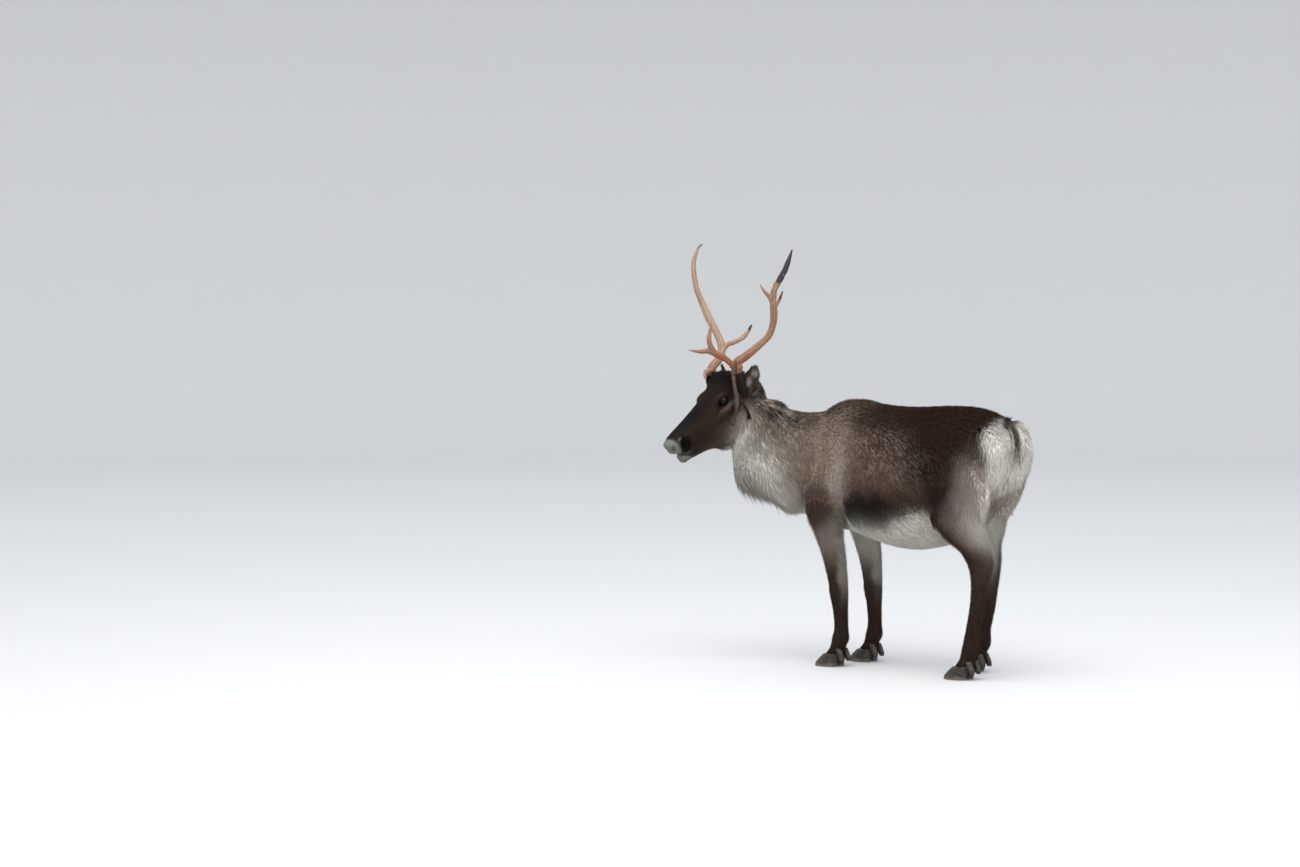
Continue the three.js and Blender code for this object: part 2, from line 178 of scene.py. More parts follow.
def rows_between(rows, steps):
    """Rows at even steps on a Catmull-Rom curve through each column: a cubic whose slope at a row is half
    the step from the row before to the row after."""
    rows = np.asarray(rows, float)
    last = len(rows) - 1
    t = np.linspace(0, last, steps + 1)
    i = np.minimum(t.astype(int), last - 1)
    f = (t - i)[:, None]
    a, b, c, d = (rows[np.clip(i + k, 0, last)] for k in (-1, 0, 1, 2))
    blend = 3 * f**2 - 2 * f**3
    return b * (1 - blend) + c * blend + (c - a) / 2 * (f**3 - 2 * f**2 + f) + (d - b) / 2 * (f**3 - f**2)


def tube(rows, around=40, start_dome=0.0, end_dome=0.0):
    """Rings around x, y, z, yaw, pitch, half width, reach up and reach down: centre + left w cos a + up h
    sin a, with a quarter circle of shrinking rings at each domed end. Gives rings x around x 3 points."""
    rows = np.asarray(rows, float)
    dome = np.radians(np.array([86.0, 72.0, 55.0, 36.0, 18.0]))
    first = np.repeat(rows[:1], len(dome), 0)
    final = np.repeat(rows[-1:], len(dome), 0)
    shift = np.concatenate([-start_dome * np.sin(dome), np.zeros(len(rows)), end_dome * np.sin(dome[::-1])])
    shrink = np.concatenate([np.cos(dome), np.ones(len(rows)), np.cos(dome[::-1])])[:, None]
    rows = np.concatenate([first, rows, final])
    ahead, left, up = axes(rows[:, 3], rows[:, 4])
    angle = np.linspace(0, 2 * np.pi, around, endpoint=False)
    reach = np.where(np.sin(angle) > 0, rows[:, 6:7], rows[:, 7:8]) * shrink * np.sin(angle)
    wide = rows[:, 5:6] * shrink * np.cos(angle)
    centre = rows[:, :3] + ahead * shift[:, None]
    return centre[:, None] + wide[..., None] * left[:, None] + reach[..., None] * up[:, None]


def skin_over(rings, capped=True):
    """Triangles over rings of points, closed by a middle point at each end. Gives points and triangles."""
    count, around = rings.shape[:2]
    grid = np.arange(count * around).reshape(count, around)
    a, b = grid[:-1], grid[1:]
    c, d = np.roll(b, -1, 1), np.roll(a, -1, 1)
    sides = np.concatenate([np.stack([a, d, c], -1).reshape(-1, 3), np.stack([a, c, b], -1).reshape(-1, 3)])
    points = rings.reshape(-1, 3)
    if not capped:
        return points, sides
    start, end = len(points), len(points) + 1
    points = np.concatenate([points, rings[:1].mean(1), rings[-1:].mean(1)])
    turn, back = grid[0], grid[-1]
    lid = np.stack([np.full(around, start), np.roll(turn, -1), turn], -1)
    foot = np.stack([np.full(around, end), back, np.roll(back, -1)], -1)
    return points, np.concatenate([sides, lid, foot])


def together(pieces):
    """Several points-and-triangles pieces as one."""
    starts = np.cumsum([0] + [len(points) for points, _ in pieces[:-1]])
    points = np.concatenate([points for points, _ in pieces])
    return points, np.concatenate([faces + start for (_, faces), start in zip(pieces, starts)])


def mesh_object(name, points, faces):
    """A new smooth-shaded object from points in metres and triangles."""
    mesh = bpy.data.meshes.new(name)
    mesh.vertices.add(len(points))
    mesh.vertices.foreach_set("co", np.ascontiguousarray(points, np.float32).ravel())
    mesh.loops.add(3 * len(faces))
    mesh.loops.foreach_set("vertex_index", np.ascontiguousarray(faces, np.int32).ravel())
    mesh.polygons.add(len(faces))
    mesh.polygons.foreach_set("loop_start", np.arange(0, 3 * len(faces), 3, dtype=np.int32))
    mesh.update(calc_edges=True)
    mesh.shade_smooth()
    piece = bpy.data.objects.new(name, mesh)
    bpy.context.scene.collection.objects.link(piece)
    return piece


def thinned(rows, side, top, bottom):
    """Rows drawn in by the coat's depth at the sides, top and bottom."""
    rows = np.array(rows, float)
    return rows - np.stack([rows[:, 0] * 0] * 5 + [rows[:, 0] * 0 + k for k in (side, top, bottom)], -1)


def ball(at, radii, yaw=0.0, pitch=0.0):
    """An ellipsoid with its radii ahead, left and up in turned axes."""
    rows = [[*at, yaw, pitch, radii[1], radii[2], radii[2]]]
    return skin_over(tube(rows, 32, radii[0], radii[0]))


def facing(rows):
    """Head sections as x, y, z, yaw, pitch, half width, reach up and reach down."""
    along, top, bottom, wide = np.array(rows, float).T
    middle = 0.6 * top + 0.4 * bottom
    turn = [along * 0 + HEAD_YAW, along * 0 + HEAD_PITCH]
    return np.column_stack([on_head(along, along * 0, middle), *turn, wide, top - middle, middle - bottom])


def trunk_rows():
    """Trunk sections as x, y, z, yaw, pitch, half width, reach up and reach down."""
    x, top, bottom, wide = np.array(TRUNK, float).T
    centre = 0.46 * top + 0.54 * bottom
    none = x * 0
    return np.column_stack([x, none, centre, none, none, wide, top - centre, centre - bottom])


def leg_rows(name):
    """A leg's slices, swung ahead by its stride below the knee or hock and less so above it, and by
    e^-(height over the hock / reach)^2 more where the hock is held straighter."""
    rows, side, stride, straight = LEGS[name]
    z, x, deep, wide, y = np.array(rows, float).T
    share = np.clip((z - SWING_LOW) / (SWING_HIGH - SWING_LOW), 0, 1)
    at_hock = np.exp(-(((z - HOCK_HEIGHT) / HOCK_REACH) ** 2))
    x = x + stride * (1 - share**2 * (3 - 2 * share)) + straight * at_hock
    none = x * 0
    return np.column_stack([x, side * y, z, none, none - 90, wide, deep, deep])


def antler_point(points):
    """Points ahead of, left of and above the middle between the antlers' feet, in the head's level axes."""
    level = np.stack(axes(np.array(HEAD_YAW), np.array(0.0)))
    return on_head(66, 0, 62) + np.asarray(points, float) @ level


def along_rod(path, radii, steps):
    """Evenly spaced middles along a smooth curve through points, the radius there, and a normal and a
    binormal that are carried along the curve without twisting."""
    curve = rows_between(path, 8 * steps)
    reach = np.concatenate([[0], np.cumsum(np.linalg.norm(np.diff(curve, axis=0), axis=1))])
    even = np.linspace(0, reach[-1], steps + 1)
    centre = np.stack([np.interp(even, reach, curve[:, k]) for k in range(3)], -1)
    r = rows_between([[q] for q in radii], steps)[:, 0]
    tangent = np.gradient(centre, axis=0)
    tangent /= np.linalg.norm(tangent, axis=1)[:, None]
    normal = np.empty_like(centre)
    side = np.cross(tangent[0], np.cross(tangent[0], np.eye(3)[np.argmin(np.abs(tangent[0]))]))
    for i, ahead in enumerate(tangent):
        side = side - ahead * (side @ ahead)
        side = side / np.linalg.norm(side)
        normal[i] = side
    return centre, r, normal, np.cross(tangent, normal)


def rod(path, radii, steps, around=24, flat=1.0):
    """Rings along a smooth curve: centre + normal r cos a + binormal r/flat sin a."""
    centre, r, normal, binormal = along_rod(path, radii, steps)
    angle = np.linspace(0, 2 * np.pi, around, endpoint=False)[None, :, None]
    wide = normal[:, None] * np.cos(angle) + binormal[:, None] * np.sin(angle) / flat
    return centre[:, None] + wide * r[:, None, None]


PEDICLES = {
    "left": [[-26, 58, -58], [-18, 64, -16], [-10, 68, 18]],
    "right": [[8, -56, -58], [12, -63, -16], [14, -68, 12]],
}


def carved_form():
    """Every tube and muscle of the body under its coat, as one list of closed, overlapping shells."""
    form = [
        skin_over(tube(rows_between(thinned(trunk_rows(), 24, 20, 26), 54), 60, 18, 20)),
        skin_over(tube(rows_between(thinned(NECK, 26, 19, 38), 42), 56, 8, 6)),
        skin_over(tube(rows_between(thinned(facing(HEAD), 5, 5, 6), 54), 48, 12, 20)),
        skin_over(tube(rows_between(thinned(facing(JAW), 3, 4, 4), 32), 36, 4, 9)),
        skin_over(tube(rows_between(thinned(TAIL, 12, 8, 10), 30), 28, 0, 4)),
    ]
    for name in LEGS:
        rows = rows_between(leg_rows(name), 60)
        coat = np.interp(rows[:, 2], [46, 110, 300, 480, 640], [0.5, 1.5, 2.5, 8.0, 17.0])
        rows[:, 5:] -= coat[:, None]
        form.append(skin_over(tube(rows, 32, 12, 3)))
    for side in (1, -1):
        form += [
            ball((322, side * 70, 640), (76, 56, 142), 0, 14),
            ball((-346, side * 78, 766), (68, 54, 108), 0, 10),
            ball(on_head(70, side * 33, -94), (70, 35, 42), HEAD_YAW, HEAD_PITCH),
            ball(on_head(146, side * 54, 24), (46, 19, 28), HEAD_YAW, HEAD_PITCH),
            ball(on_head(366, side * 24, -6), (30, 22, 31), HEAD_YAW, HEAD_PITCH),
        ]
    form += [skin_over(rod(antler_point(path), [28, 23, 19], 12)) for path in PEDICLES.values()]
    points, faces = together(form)
    return placed(points), faces


def arrays_of(mesh):
    """A mesh's points, normals and triangles."""
    mesh.calc_loop_triangles()
    points = np.empty(3 * len(mesh.vertices), np.float32)
    normals = np.empty(3 * len(mesh.vertices), np.float32)
    faces = np.empty(3 * len(mesh.loop_triangles), np.int32)
    mesh.vertices.foreach_get("co", points)
    mesh.vertex_normals.foreach_get("vector", normals)
    mesh.loop_triangles.foreach_get("vertices", faces)
    return points.reshape(-1, 3).astype(float), normals.reshape(-1, 3).astype(float), faces.reshape(-1, 3)


def with_modifier(piece, kind, **settings):
    """The piece's mesh after one more modifier, which is then gone."""
    change = piece.modifiers.new(kind.title(), kind)
    for key, value in settings.items():
        setattr(change, key, value)
    evaluated = piece.evaluated_get(bpy.context.evaluated_depsgraph_get())
    mesh = bpy.data.meshes.new_from_object(evaluated)
    piece.modifiers.clear()
    piece.data = mesh
    return mesh


def face_places(points):
    """How far points of the drawing lie along the face from the poll, to the left of it and above it."""
    rest = points - POLL
    return rest @ face_ahead, rest @ face_left, rest @ face_up


def drawn(points):
    """Metres in the frame, made millimetres of the drawing."""
    return points * 1000.0 + DRAWING_MIDDLE


def noise(points, size, seed=0):
    """Smooth random values from -1 to 1: random numbers at the corners of cubes of a size, blended inside
    each cube by 3f^2 - 2f^3 along each side."""
    scaled = points / size
    cell = np.floor(scaled).astype(np.int64)
    f = scaled - cell
    f = f * f * (3 - 2 * f)
    total = np.zeros(len(points))
    for corner in np.ndindex(2, 2, 2):
        key = (cell + corner) @ np.array([73856093, 19349663, 83492791]) + seed * 9781
        key = (key ^ (key >> 13)) * 1274126177
        value = ((key ^ (key >> 16)) & 0xFFFF) / 32767.5 - 1
        total += value * np.prod(np.where(corner, f, 1 - f), axis=1)
    return total


def soft(value, edge, width):
    """0 well below the edge and 1 well above it: 1 / (1 + e^-((value - edge) / width))."""
    return 1 / (1 + np.exp(-np.clip((value - edge) / width, -30, 30)))


def near_path(points, path):
    """The distance from each point to a line through a few points."""
    best = np.full(len(points), 1e9)
    path = np.asarray(path, float)
    for start, end in zip(path[:-1], path[1:]):
        span = end - start
        t = np.clip((points - start) @ span / (span @ span), 0, 1)
        best = np.minimum(best, np.linalg.norm(points - start - t[:, None] * span, axis=1))
    return best


def nearest_of(points, places, scale):
    """The index of each point's nearest place, counted in that place's own scale."""
    found = np.empty(len(points), int)
    for start in range(0, len(points), 4000):
        part = points[start : start + 4000]
        found[start : start + 4000] = (np.linalg.norm(part[:, None] - places[None], axis=2) / scale).argmin(1)
    return found


EYE_SLANT = -14.0
LID_LONG = 19.0
LID_TALL = 13.6


def eye_axes(side):
    """The middle of an eye, the way it looks, and the directions along its opening and down across it."""
    along, left, up = EYE_PLACE
    middle = on_head(along, side * left, up)
    gaze = face_ahead * 0.42 + face_left * side * 0.9 + face_up * 0.06
    gaze /= np.linalg.norm(gaze)
    length = face_ahead * np.cos(np.radians(EYE_SLANT)) + face_up * np.sin(np.radians(EYE_SLANT))
    length -= gaze * (length @ gaze)
    length /= np.linalg.norm(length)
    return middle, gaze, length, np.cross(gaze, length) * side


def eye_places(points, side):
    """How far points lie out along an eye's gaze, along its opening and below its middle."""
    middle, gaze, length, height = eye_axes(side)
    rest = points - middle
    return rest @ gaze, rest @ length, rest @ height


# Folds and swellings of the face: a path in distance along the face, half way across and above, its width
# And how far the skin stands out or sinks.
FACE_STROKES = [
    ([(342, 48, 8), (354, 48, 2), (360, 46, -10), (368, 42, -22)], 8, -15),
    ([(366, 42, -18), (374, 38, -26)], 6, -6),
    ([(334, 48, -2), (338, 48, 14), (352, 48, 20), (366, 44, 14), (376, 42, 2)], 5, 4.5),
    ([(376, 40, -4), (380, 38, -22)], 5, 3),
    ([(414, 0, -20), (404, 20, -22), (388, 32, -32), (370, 38, -44)], 6, 3),
    ([(404, 0, -44), (394, 20, -50), (376, 30, -62)], 6, 3),
    ([(392, 0, -72), (384, 16, -76)], 12, 4),
    ([(408, -14, 14), (408, 14, 14)], 13, 6),
    ([(176, 66, 10), (192, 58, 0), (212, 50, -12)], 6, -4.5),
    ([(186, 66, 18), (206, 56, 8)], 7, 2.5),
    ([(96, 84, -18), (140, 84, -12), (190, 72, -18), (236, 58, -28)], 14, 3.5),
    ([(190, 60, -40), (250, 50, -48), (300, 46, -50)], 16, -4),
    ([(118, 78, 62), (150, 70, 58), (176, 60, 46)], 9, 3.5),
    ([(100, 70, 44), (112, 76, 26)], 16, -4),
    ([(414, 0, 10), (412, 0, -24)], 3.5, -3),
]
# The line over each nostril's raised upper rim, along which a pale highlight is painted.
NOSTRIL_HIGHLIGHT_ARC = [(336, 46, 12), (350, 46, 20), (366, 44, 16), (378, 40, 2)]
MOUTH = [(440, 0, -30), (409, 0, -30), (394, 0, -39), (376, 0, -50), (360, 0, -61), (338, 0, -71)]
# The same for the body, in the drawing's own millimetres, alike on both sides.
BODY_STROKES = [
    ([(216, 150, 620), (222, 140, 540), (236, 118, 480)], 26, -9),
    ([(-120, 180, 640), (-150, 170, 560), (-150, 140, 490)], 34, -9),
    ([(330, 130, 820), (300, 160, 740), (318, 150, 660)], 40, 5),
    ([(-330, 140, 860), (-250, 166, 800), (-220, 176, 700)], 50, 5),
    ([(-420, 0, 760), (-400, 0, 640), (-340, 0, 540)], 20, -14),
    ([(440, 120, 740), (400, 140, 640), (390, 120, 560)], 30, -5),
    ([(638, 165, 985), (605, 121, 955), (570, 84, 930)], 34, 15),
    ([(655, 215, 795), (659, 213, 745), (652, 196, 680)], 42, 9),
    ([(649, 183, 642), (589, 111, 587), (504, 50, 525)], 46, 13),
]


def sculpted(points, normals):
    """The drawing's points, pushed along their normals by amount e^-(distance / width)^2 for every stroke.
    Behind the lids, the skin is drawn in to 5 mm under the eyeball."""
    along, left, up = face_places(points)
    on_face = np.stack([along, np.abs(left), up], -1)
    mirrored = points * [1, 0, 1] + np.stack([points[:, 0] * 0, np.abs(points[:, 1]), points[:, 0] * 0], -1)
    push = np.zeros(len(points))
    profile = on_face * [1, 0, 1]
    for strokes, where in ((FACE_STROKES, on_face), ([(MOUTH, 4, -8)], profile), (BODY_STROKES, mirrored)):
        for path, width, amount in strokes:
            push += amount * np.exp(-((near_path(where, path) / width) ** 2))
    for name in LEGS:
        slices = rows_between(leg_rows(name), 40)
        low = slices[(slices[:, 2] < 300) & (slices[:, 2] > 100)]
        for half in (1, -1):
            groove = low[:, :3] + np.stack([-0.3 * low[:, 6], half * 0.8 * low[:, 5], low[:, 5] * 0], -1)
            push -= 3.0 * np.exp(-((near_path(points, groove[::3]) / 6) ** 2))
    points = points + normals * push[:, None]
    for side in (1, -1):
        out, length, height = eye_places(points, side)
        middle, gaze, *_ = eye_axes(side)
        ring = np.hypot(length / (LID_LONG + 7), height / (LID_TALL + 7))
        hollow = soft(-ring, -1, 0.05) * (out > 0)
        floor = np.sqrt(np.maximum(EYE_RADIUS**2 - length**2 - height**2, 9.0)) - 5
        points = points + gaze * (hollow * (floor - out))[:, None]
    return points


def relaxed(points, faces, rounds, share=0.5):
    """Each point moved part of the way to the mean of its neighbours, over and over. share may differ by
    point."""
    edges = np.concatenate([faces[:, [0, 1]], faces[:, [1, 2]], faces[:, [2, 0]]])
    count = np.bincount(edges[:, 0], minlength=len(points)).astype(float)
    share = np.broadcast_to(share, len(points))[:, None]
    for _ in range(rounds):
        mean = np.stack([np.bincount(edges[:, 0], points[edges[:, 1], k], len(points)) for k in range(3)], -1)
        points = points + share * (mean / count[:, None] - points)
    return points


def normals_of(points, faces):
    """The mean of the faces' cross products around each point, made one long."""
    a, b, c = (points[faces[:, k]] for k in range(3))
    flat = np.cross(b - a, c - a)
    total = np.zeros((len(points), 3))
    for corner, k in np.ndindex(3, 3):
        total[:, k] += np.bincount(faces[:, corner], flat[:, k], len(points))
    return total / np.maximum(np.linalg.norm(total, axis=1), 1e-12)[:, None]


EAR_LENGTH = 102.0
EAR_FOOT = (60.0, 64.0, -10.0)
EAR_LEAF = [[-0.12, 15], [0, 19], [0.18, 24], [0.42, 28], [0.66, 26], [0.86, 17], [0.97, 7], [1.03, 2]]
EAR_WALL = 5.0
EAR_SIDES = {"ear_left": 1, "ear_right": -1}


def ear_axes(side):
    """An ear's foot, the way it stands, the direction across it and the way its cup opens."""
    level_ahead, level_left, level_up = axes(np.array(HEAD_YAW), np.array(0.0))
    stand = level_left * side * 0.45 - level_ahead * 0.12 + level_up * 0.9
    stand /= np.linalg.norm(stand)
    across = np.cross(stand, axes(np.array(HEAD_YAW + side * 52), np.array(0.0))[0])
    across /= np.linalg.norm(across)
    return on_head(EAR_FOOT[0], side * EAR_FOOT[1], EAR_FOOT[2]), stand, across, np.cross(across, stand)


def ear(side):
    """A cupped leaf, whose sections are crescents: the back is -deep sin a and the inside is a wall's
    thickness before it, and near the foot both edges curl forward by cos^2 a."""
    foot, stand, across, opening = ear_axes(side)
    u, wide = rows_between(EAR_LEAF, 40).T
    deep = 13.0 * (1 - 0.35 * np.clip(u, 0, 1)) * np.sqrt(wide / wide.max())
    inside = np.maximum(deep - EAR_WALL, 0)
    angle = np.linspace(0, 2 * np.pi, 40, endpoint=False)
    sine, cosine = np.sin(angle), np.cos(angle)
    cup = np.where(sine > 0, -deep[:, None] * sine, inside[:, None] * sine)
    curl = (16.0 * np.clip(0.75 - u, 0, 1))[:, None] * cosine**2
    rings = (
        foot
        + (u * EAR_LENGTH)[:, None, None] * stand
        + (wide[:, None] * cosine)[..., None] * across
        + (cup + curl)[..., None] * opening
    )
    return skin_over(rings)


def lids(side):
    """A soft collar round the eye: rings of a flat oval, wide across the lid and thin through it, carried
    along the almond of the opening on a ball a little larger than the eye. The upper lid is the heavier
    one."""
    middle, gaze, length, height = eye_axes(side)
    turn = np.linspace(0, 2 * np.pi, 72, endpoint=False)
    section = np.linspace(0, 2 * np.pi, 14, endpoint=False)
    upper = np.clip(-np.sin(turn), 0, 1)
    reach = 5.5 + 1.5 * upper
    thick = 2.3 + 0.9 * upper
    point = 1 + 0.16 * np.maximum(np.cos(turn), 0) ** 8
    spread = reach[:, None] * (1 + np.cos(section))[None]
    across = np.cos(turn)[:, None] * (LID_LONG * point[:, None] + spread - 1)
    tall = np.sin(turn)[:, None] * (LID_TALL * (0.82 + 0.18 * np.abs(np.sin(turn)))[:, None] + spread - 1)
    ball_height = np.sqrt(np.maximum((EYE_RADIUS + 1.2) ** 2 - across**2 - tall**2, 0))
    out = np.maximum(ball_height, 15.0 - 0.38 * np.hypot(across, tall))
    out = out + thick[:, None] * np.sin(section)[None]
    rings = middle + across[..., None] * length + tall[..., None] * height + out[..., None] * gaze
    grid = np.arange(rings.shape[0] * rings.shape[1]).reshape(rings.shape[:2])
    a, b = grid, np.roll(grid, -1, 0)
    c, d = np.roll(b, -1, 1), np.roll(a, -1, 1)
    faces = np.concatenate([np.stack([a, b, c], -1).reshape(-1, 3), np.stack([a, c, d], -1).reshape(-1, 3)])
    return rings.reshape(-1, 3), faces if side > 0 else faces[:, ::-1]


# Each region's middle line: rows of points and the region's mean radius there.
REGIONS = {
    "trunk": (trunk_rows(), 30),
    "neck": (np.array(NECK, float), 24),
    "head": (facing(HEAD), 30),
    "tail": (np.array(TAIL, float), 16),
}
for leg in LEGS:
    REGIONS["leg_" + leg] = (leg_rows(leg)[1:], 36)
for ear_name, ear_side in EAR_SIDES.items():
    ear_foot, ear_stand, _, _ = ear_axes(ear_side)
    line = [[*(ear_foot + ear_stand * EAR_LENGTH * u), 0, 0, wide, 12, 12] for u, wide in EAR_LEAF[1:7]]
    REGIONS[ear_name] = (np.array(line, float), 12)
NAMES = list(REGIONS)


def region_places(points):
    """For each point, each region's share in it, how far it lies along the region's middle line, and the
    line's own direction there. A region's share falls off as e^-9q, where q is the distance to its line in
    radii."""
    reach, along, ahead = [], [], []
    for rows, steps in REGIONS.values():
        line = rows_between(rows, steps)
        radius = line[:, 5:8].mean(1)
        span = np.linalg.norm(points[:, None] - line[None, :, :3], axis=2) / radius
        nearest = span.argmin(1)
        reach.append(span.min(1))
        along.append(nearest / steps)
        slope = np.gradient(line[:, :3], axis=0)
        ahead.append((slope / np.linalg.norm(slope, axis=1)[:, None])[nearest])
    reach = np.stack(reach, -1)
    share = np.exp(-9 * (reach - reach.min(1, keepdims=True)))
    return share / share.sum(1, keepdims=True), np.stack(along, -1), np.stack(ahead, 1)


def paint(red, green, blue):
    """A screen colour from 0 to 255 as the reflected light that a material takes."""
    return (np.array([red, green, blue]) / 255) ** 2.2


SADDLE = paint(52, 37, 29)
FLANK = paint(96, 78, 67)
FROST = paint(196, 184, 172)
SHOULDER = paint(138, 119, 104)
BAND = paint(178, 165, 154)
UPPER_ARM = paint(88, 70, 61)
# Near black: the dark patches of fur on the trunk, and painted shade in the nostrils and along the mouth.
BLACK_FUR_AND_SHADE = paint(12, 8, 6)
BELLY = paint(224, 219, 207)
THIGH = paint(44, 31, 26)
BUTTOCK = paint(182, 167, 155)
RUMP = paint(238, 234, 224)
NECK_SIDE = paint(162, 149, 136)
THROAT = paint(222, 218, 206)
MANE_TOP = paint(34, 26, 22)
FACE = paint(45, 36, 30)
BRIDGE = paint(24, 23, 24)
CHEEK = paint(76, 61, 53)
MUZZLE = paint(116, 116, 110)
CHIN = paint(110, 111, 105)
LID = paint(20, 15, 13)
LID_RIM = paint(120, 100, 94)
RUSSET = paint(38, 20, 11)
JAW_EDGE = paint(104, 90, 81)
EAR_INNER = paint(138, 134, 126)
EAR_BACK = paint(64, 55, 49)
TUFTED_CROWN = paint(26, 19, 16)
LEG_DARK = paint(60, 45, 39)
LEG_PALE = paint(168, 160, 148)
HIND_SHANK = paint(92, 73, 64)
TAIL_STRIPE = paint(66, 47, 38)


def oval(x, z, at, radii, tilt=0.0, blur=0.16):
    """How deep a place lies in a soft-edged oval, 1 inside and 0 outside."""
    turn = np.radians(tilt)
    across = (x - at[0]) * np.cos(turn) + (z - at[1]) * np.sin(turn)
    upward = (z - at[1]) * np.cos(turn) - (x - at[0]) * np.sin(turn)
    return soft(1 - np.hypot(across / radii[0], upward / radii[1]), 0, blur)


def layered(base, *layers):
    """A base colour with each layer's colour laid over it in turn, by that layer's amount from 0 to 1."""
    for colour, amount in layers:
        base = base + (colour - base) * np.clip(amount, 0, 1)[:, None]
    return base


# Where the edge of a marking runs: places along it, and its height or its distance ahead at each.
SADDLE_EDGE = (
    [-420, -330, -230, -150, -102, -20, 60, 160, 256, 340],
    [800, 772, 712, 706, 738, 795, 818, 846, 916, 980],
)
BELLY_EDGE = (
    [-300, -190, -153, -90, -3, 97, 160, 250, 330, 400],
    [450, 500, 572, 588, 548, 512, 498, 480, 490, 520],
)
RUMP_EDGE = (
    [450, 520, 605, 656, 707, 758, 809, 852, 890],
    [-330, -350, -358, -369, -381, -388, -381, -366, -344],
)
THROAT_EDGE = [0, 0.27, 0.45, 0.6, 0.8, 1], [-0.7, -0.4, -0.14, 0, -0.02, -0.2]
MUZZLE_EDGE = [-90, -60, -45, -30, 0, 12, 22, 34], [352, 366, 380, 381, 381, 383, 388, 397]
FACE_EDGE = [-60, 0, 20, 38, 67, 101, 134], [70, 70, 116, 146, 180, 210, 250]
NECK_STEPS = 48


def trunk_markings(points, frayed, normals, arm):
    """Grizzled shoulders, a dark saddle, a pale band behind the elbow, sooty patches over a white belly, a
    pale haunch behind a dark thigh, and the white rump."""
    x, y, z = frayed.T
    rump_edge = np.interp(points[:, 2], *RUMP_EDGE) + 0.35 * (points[:, 0] - x)
    return layered(
        FLANK,
        (SHOULDER, oval(x, z, (320, 735), (150, 170), blur=0.2)),
        (SADDLE, soft(z, np.interp(x, *SADDLE_EDGE), 22) * soft(-x, -262, 22)),
        (RUSSET, 0.75 * oval(x, z, (-165, 742), (90, 62), blur=0.3)),
        (BAND, 0.85 * oval(x, z, (240, 640), (42, 150), 4, 0.25)),
        (THIGH, oval(x, z, (-222, 606), (80, 140), 8, 0.2)),
        (BUTTOCK, 0.9 * soft(-x, 318, 13) * soft(-z, -768, 22) * soft(z, 430, 26)),
        (BLACK_FUR_AND_SHADE, oval(x, z, (128, 572), (142, 72), -12, 0.2)),
        (BLACK_FUR_AND_SHADE, 0.45 * oval(x, z, (-80, 622), (130, 34), -10, 0.3)),
        (BELLY, soft(np.interp(x, *BELLY_EDGE) - z, 0, 8) * soft(x, -320, 16)),
        (BELLY, soft(-normals[:, 2], 0.6, 0.08) * soft(x, -250, 12)),
        (BELLY, soft(-np.abs(y), -80, 10) * soft(-z, -560, 14) * soft(-x, 230, 16)),
        (UPPER_ARM, 0.95 * arm),
        (RUMP, soft(rump_edge - points[:, 0], 0, 5) * soft(z, 440, 24)),
    )


def neck_markings(frayed, place, arm):
    """A pale throat and mane under a dark top that is streaked across the neck, and the shoulder's colour at
    its root. Gives the colours, and how deep each point lies in the dark top."""
    line = rows_between(NECK, NECK_STEPS)
    nearest = (place * NECK_STEPS).round().astype(int)
    _, left, up = axes(line[nearest, 3], line[nearest, 4])
    rest = frayed - line[nearest, :3]
    height, sideways = (rest * up).sum(1), (rest * left).sum(1)
    height = height / np.where(height > 0, line[nearest, 6], line[nearest, 7])
    around = np.arctan2(sideways, height * 120) * 110
    beyond = (frayed - line[-1, :3]) @ axes(line[-1, 3], line[-1, 4])[0]
    streak = noise(np.stack([place * 400, around * 5.4, around * 0], -1), 26, 5) * soft(-beyond, -8, 5)
    top = soft(height, 0.84 - 0.48 * place, 0.09)
    neck = layered(
        NECK_SIDE,
        (SHOULDER, 0.9 * soft(0.3 * height - place, -0.28, 0.07)),
        (MANE_TOP, 0.3 * soft(streak, 0.1, 0.1) * soft(height, 0.1, 0.15)),
        (THROAT, soft(np.interp(place, *THROAT_EDGE) - height, 0, 0.1) * (1.1 - 0.35 * place)),
        (MANE_TOP, top * np.clip(1.0 + 1.1 * streak, 0, 1)),
        (SADDLE, 0.5 * soft(-place, -0.1, 0.04) * soft(height, 0.75, 0.08)),
        (UPPER_ARM, 0.95 * arm),
    )
    return neck, top


